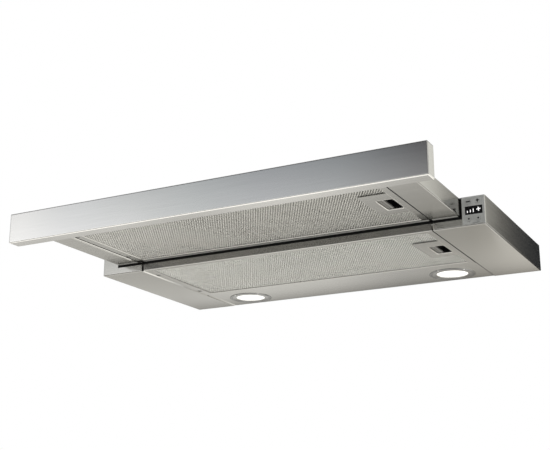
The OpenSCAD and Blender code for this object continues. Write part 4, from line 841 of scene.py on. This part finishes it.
fold = box_section(floor_lo.x + 0.0331, floor_lo.x + 0.0352, border_lo.y + 0.001, border_hi.y - 0.001,
                   floor_lo.z - 0.0001, floor_lo.z + 0.0016, 0.0012)
solid("drawer_left_fold", *fold, fold_highlight_steel, "drawer", "panel_steel")
# a black strip in the right seam, a painted shade of the gap
side_gap_shade = box_section(border_hi.x + 0.0002, border_hi.x + 0.0017, border_lo.y + 0.001,
                   border_hi.y - 0.0075, floor_lo.z - 0.00015, floor_lo.z + 0.0003)
solid("drawer_side_shade", *side_gap_shade, seal_rubber, "drawer", "seal_rubber")


# Latches. Each filter is held by a moulded grey pad with a finger groove, on a black slide in a black cup,
# and by the flat black bolt behind it with its fine cross ribs.
latch_black = plain("latch_black", (0.007, 0.007, 0.007), 0.55, Specular_IOR_Level=0.2)
dress(latch_black, "drawer_latch_cup", "canopy_latch_cup")
latch_grey = plain("latch_grey", (0.21, 0.205, 0.19), 0.42)
dress(latch_grey, "drawer_latch", "canopy_latch")
for which in ("drawer", "canopy"):
    lo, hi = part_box(which + "_latch")
    window_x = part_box(which + "_latch_cup")[1].x - window_edge - window_len
    # along the pad: its edges are rounded by the sixth power of the distance from its middle, the finger
    # groove is a flat-bottomed bell, and the pad's left end leans up in a straight line
    groove_in, groove_half, groove_deep = 0.0048, 0.0007, 0.0022
    pad_end = window_x + 0.0085
    along_pad = np.linspace(lo.x, pad_end, 41)
    t = (along_pad - lo.x) / (pad_end - lo.x)
    crown = 0.0007 * (1 - np.abs(2 * t - 1) ** 6)
    groove = groove_deep * np.exp(-((along_pad - window_x - groove_in) / groove_half) ** 4)
    lean = 0.0016 * np.clip((window_x + groove_in - along_pad) / 0.006, 0, 1)
    foot_z = lo.z - 0.0010 - crown + 0.6 * groove + 0.5 * lean
    pad_top = lo.z + 0.0008
    y0, y1 = lo.y + 0.0002, hi.y - 0.0002
    section = [*zip(along_pad, foot_z), (pad_end, pad_top), (lo.x, pad_top)]
    ends = [[(x, y, z) for x, z in section] for y in (y0, y1)]
    pad = solid(which + "_latch_pad", *prism(*ends), latch_grey, which + "_latch", "latch_grey", smooth=True)
    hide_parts(which + "_latch")
    slide = box_section(lo.x, pad_end - 0.0004, y0, y1, pad_top, hi.z)
    solid(which + "_latch_slide", *slide, latch_black, which + "_latch", "latch_black")
    # the bolt's cross ribs: a cosine along it
    middle, half, pitch, thick, swing = (lo.y + hi.y) / 2, 0.009, 0.0032, 0.0011, 0.00025
    along_bolt = np.linspace(pad_end, hi.x, 57)
    ribs = hi.z - thick - swing * np.cos((along_bolt - pad_end) * 2 * math.pi / pitch)
    section = [*zip(along_bolt, ribs), (hi.x, hi.z), (pad_end, hi.z)]
    ends = [[(x, y, z) for x, z in section] for y in (middle - half, middle + half)]
    solid(which + "_latch_bolt", *prism(*ends), latch_black, which + "_latch", "latch_black", smooth=True)


# Blower. The scroll's halves and the wheel are moulded in dark plastic, the motor's case is painted, and
# the cases of the capacitor and the lamp driver are white plastic.
scroll_plastic = plain("scroll_plastic", (0.05, 0.052, 0.055), 0.5)
dress(scroll_plastic, "lower_scroll", "upper_scroll", "wheel")
motor_paint = plain("motor_paint", (0.12, 0.13, 0.14), 0.4)
dress(motor_paint, "motor")
white_plastic = plain("white_plastic", (0.78, 0.78, 0.76), 0.45)
dress(white_plastic, "capacitor", "lamp_driver")


# Duct collar, flaps and terminal box, moulded in black plastic with a fine grain from the mould. The flaps
# turn on a steel rod, and four steel screws from behind hold the drawer's front.
dress(black_plastic, "terminal_box", "terminal_lid", "cable_gland", "duct_collar", "front_flap",
      "rear_flap")
dress(screw_steel, "front_screws", "flap_rod")


# Spot welds join the top plate to the side panels' flanges: two rows of eight shallow dimples with a
# raised rim, where the electrodes have pressed the sheets together.
plate_lo, plate_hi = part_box("top_plate")
weld_ring = [(0.0, 0.00002), (0.0011, 0.00005), (0.0019, 0.00022), (0.0024, 0.00018), (0.0028, 0.0),
             (0.0028, -0.0003), (0.0, -0.0003)]
inset, first, spacing = 0.010, 0.016, 0.034
weld_places = [(side * (plate_hi.x - inset), plate_lo.y + first + spacing * i)
               for side in (-1, 1) for i in range(8)]
weld_points, weld_faces = [], []
for k, (x, y) in enumerate(weld_places):
    points, faces = turned(weld_ring, (x, y, plate_hi.z), 16)
    weld_faces.append(faces + k * len(points))
    weld_points.append(points)
solid("spot_welds", np.concatenate(weld_points), np.concatenate(weld_faces), zinc_sheet, "canopy",
      "zinc_sheet", smooth=True, weld=True)
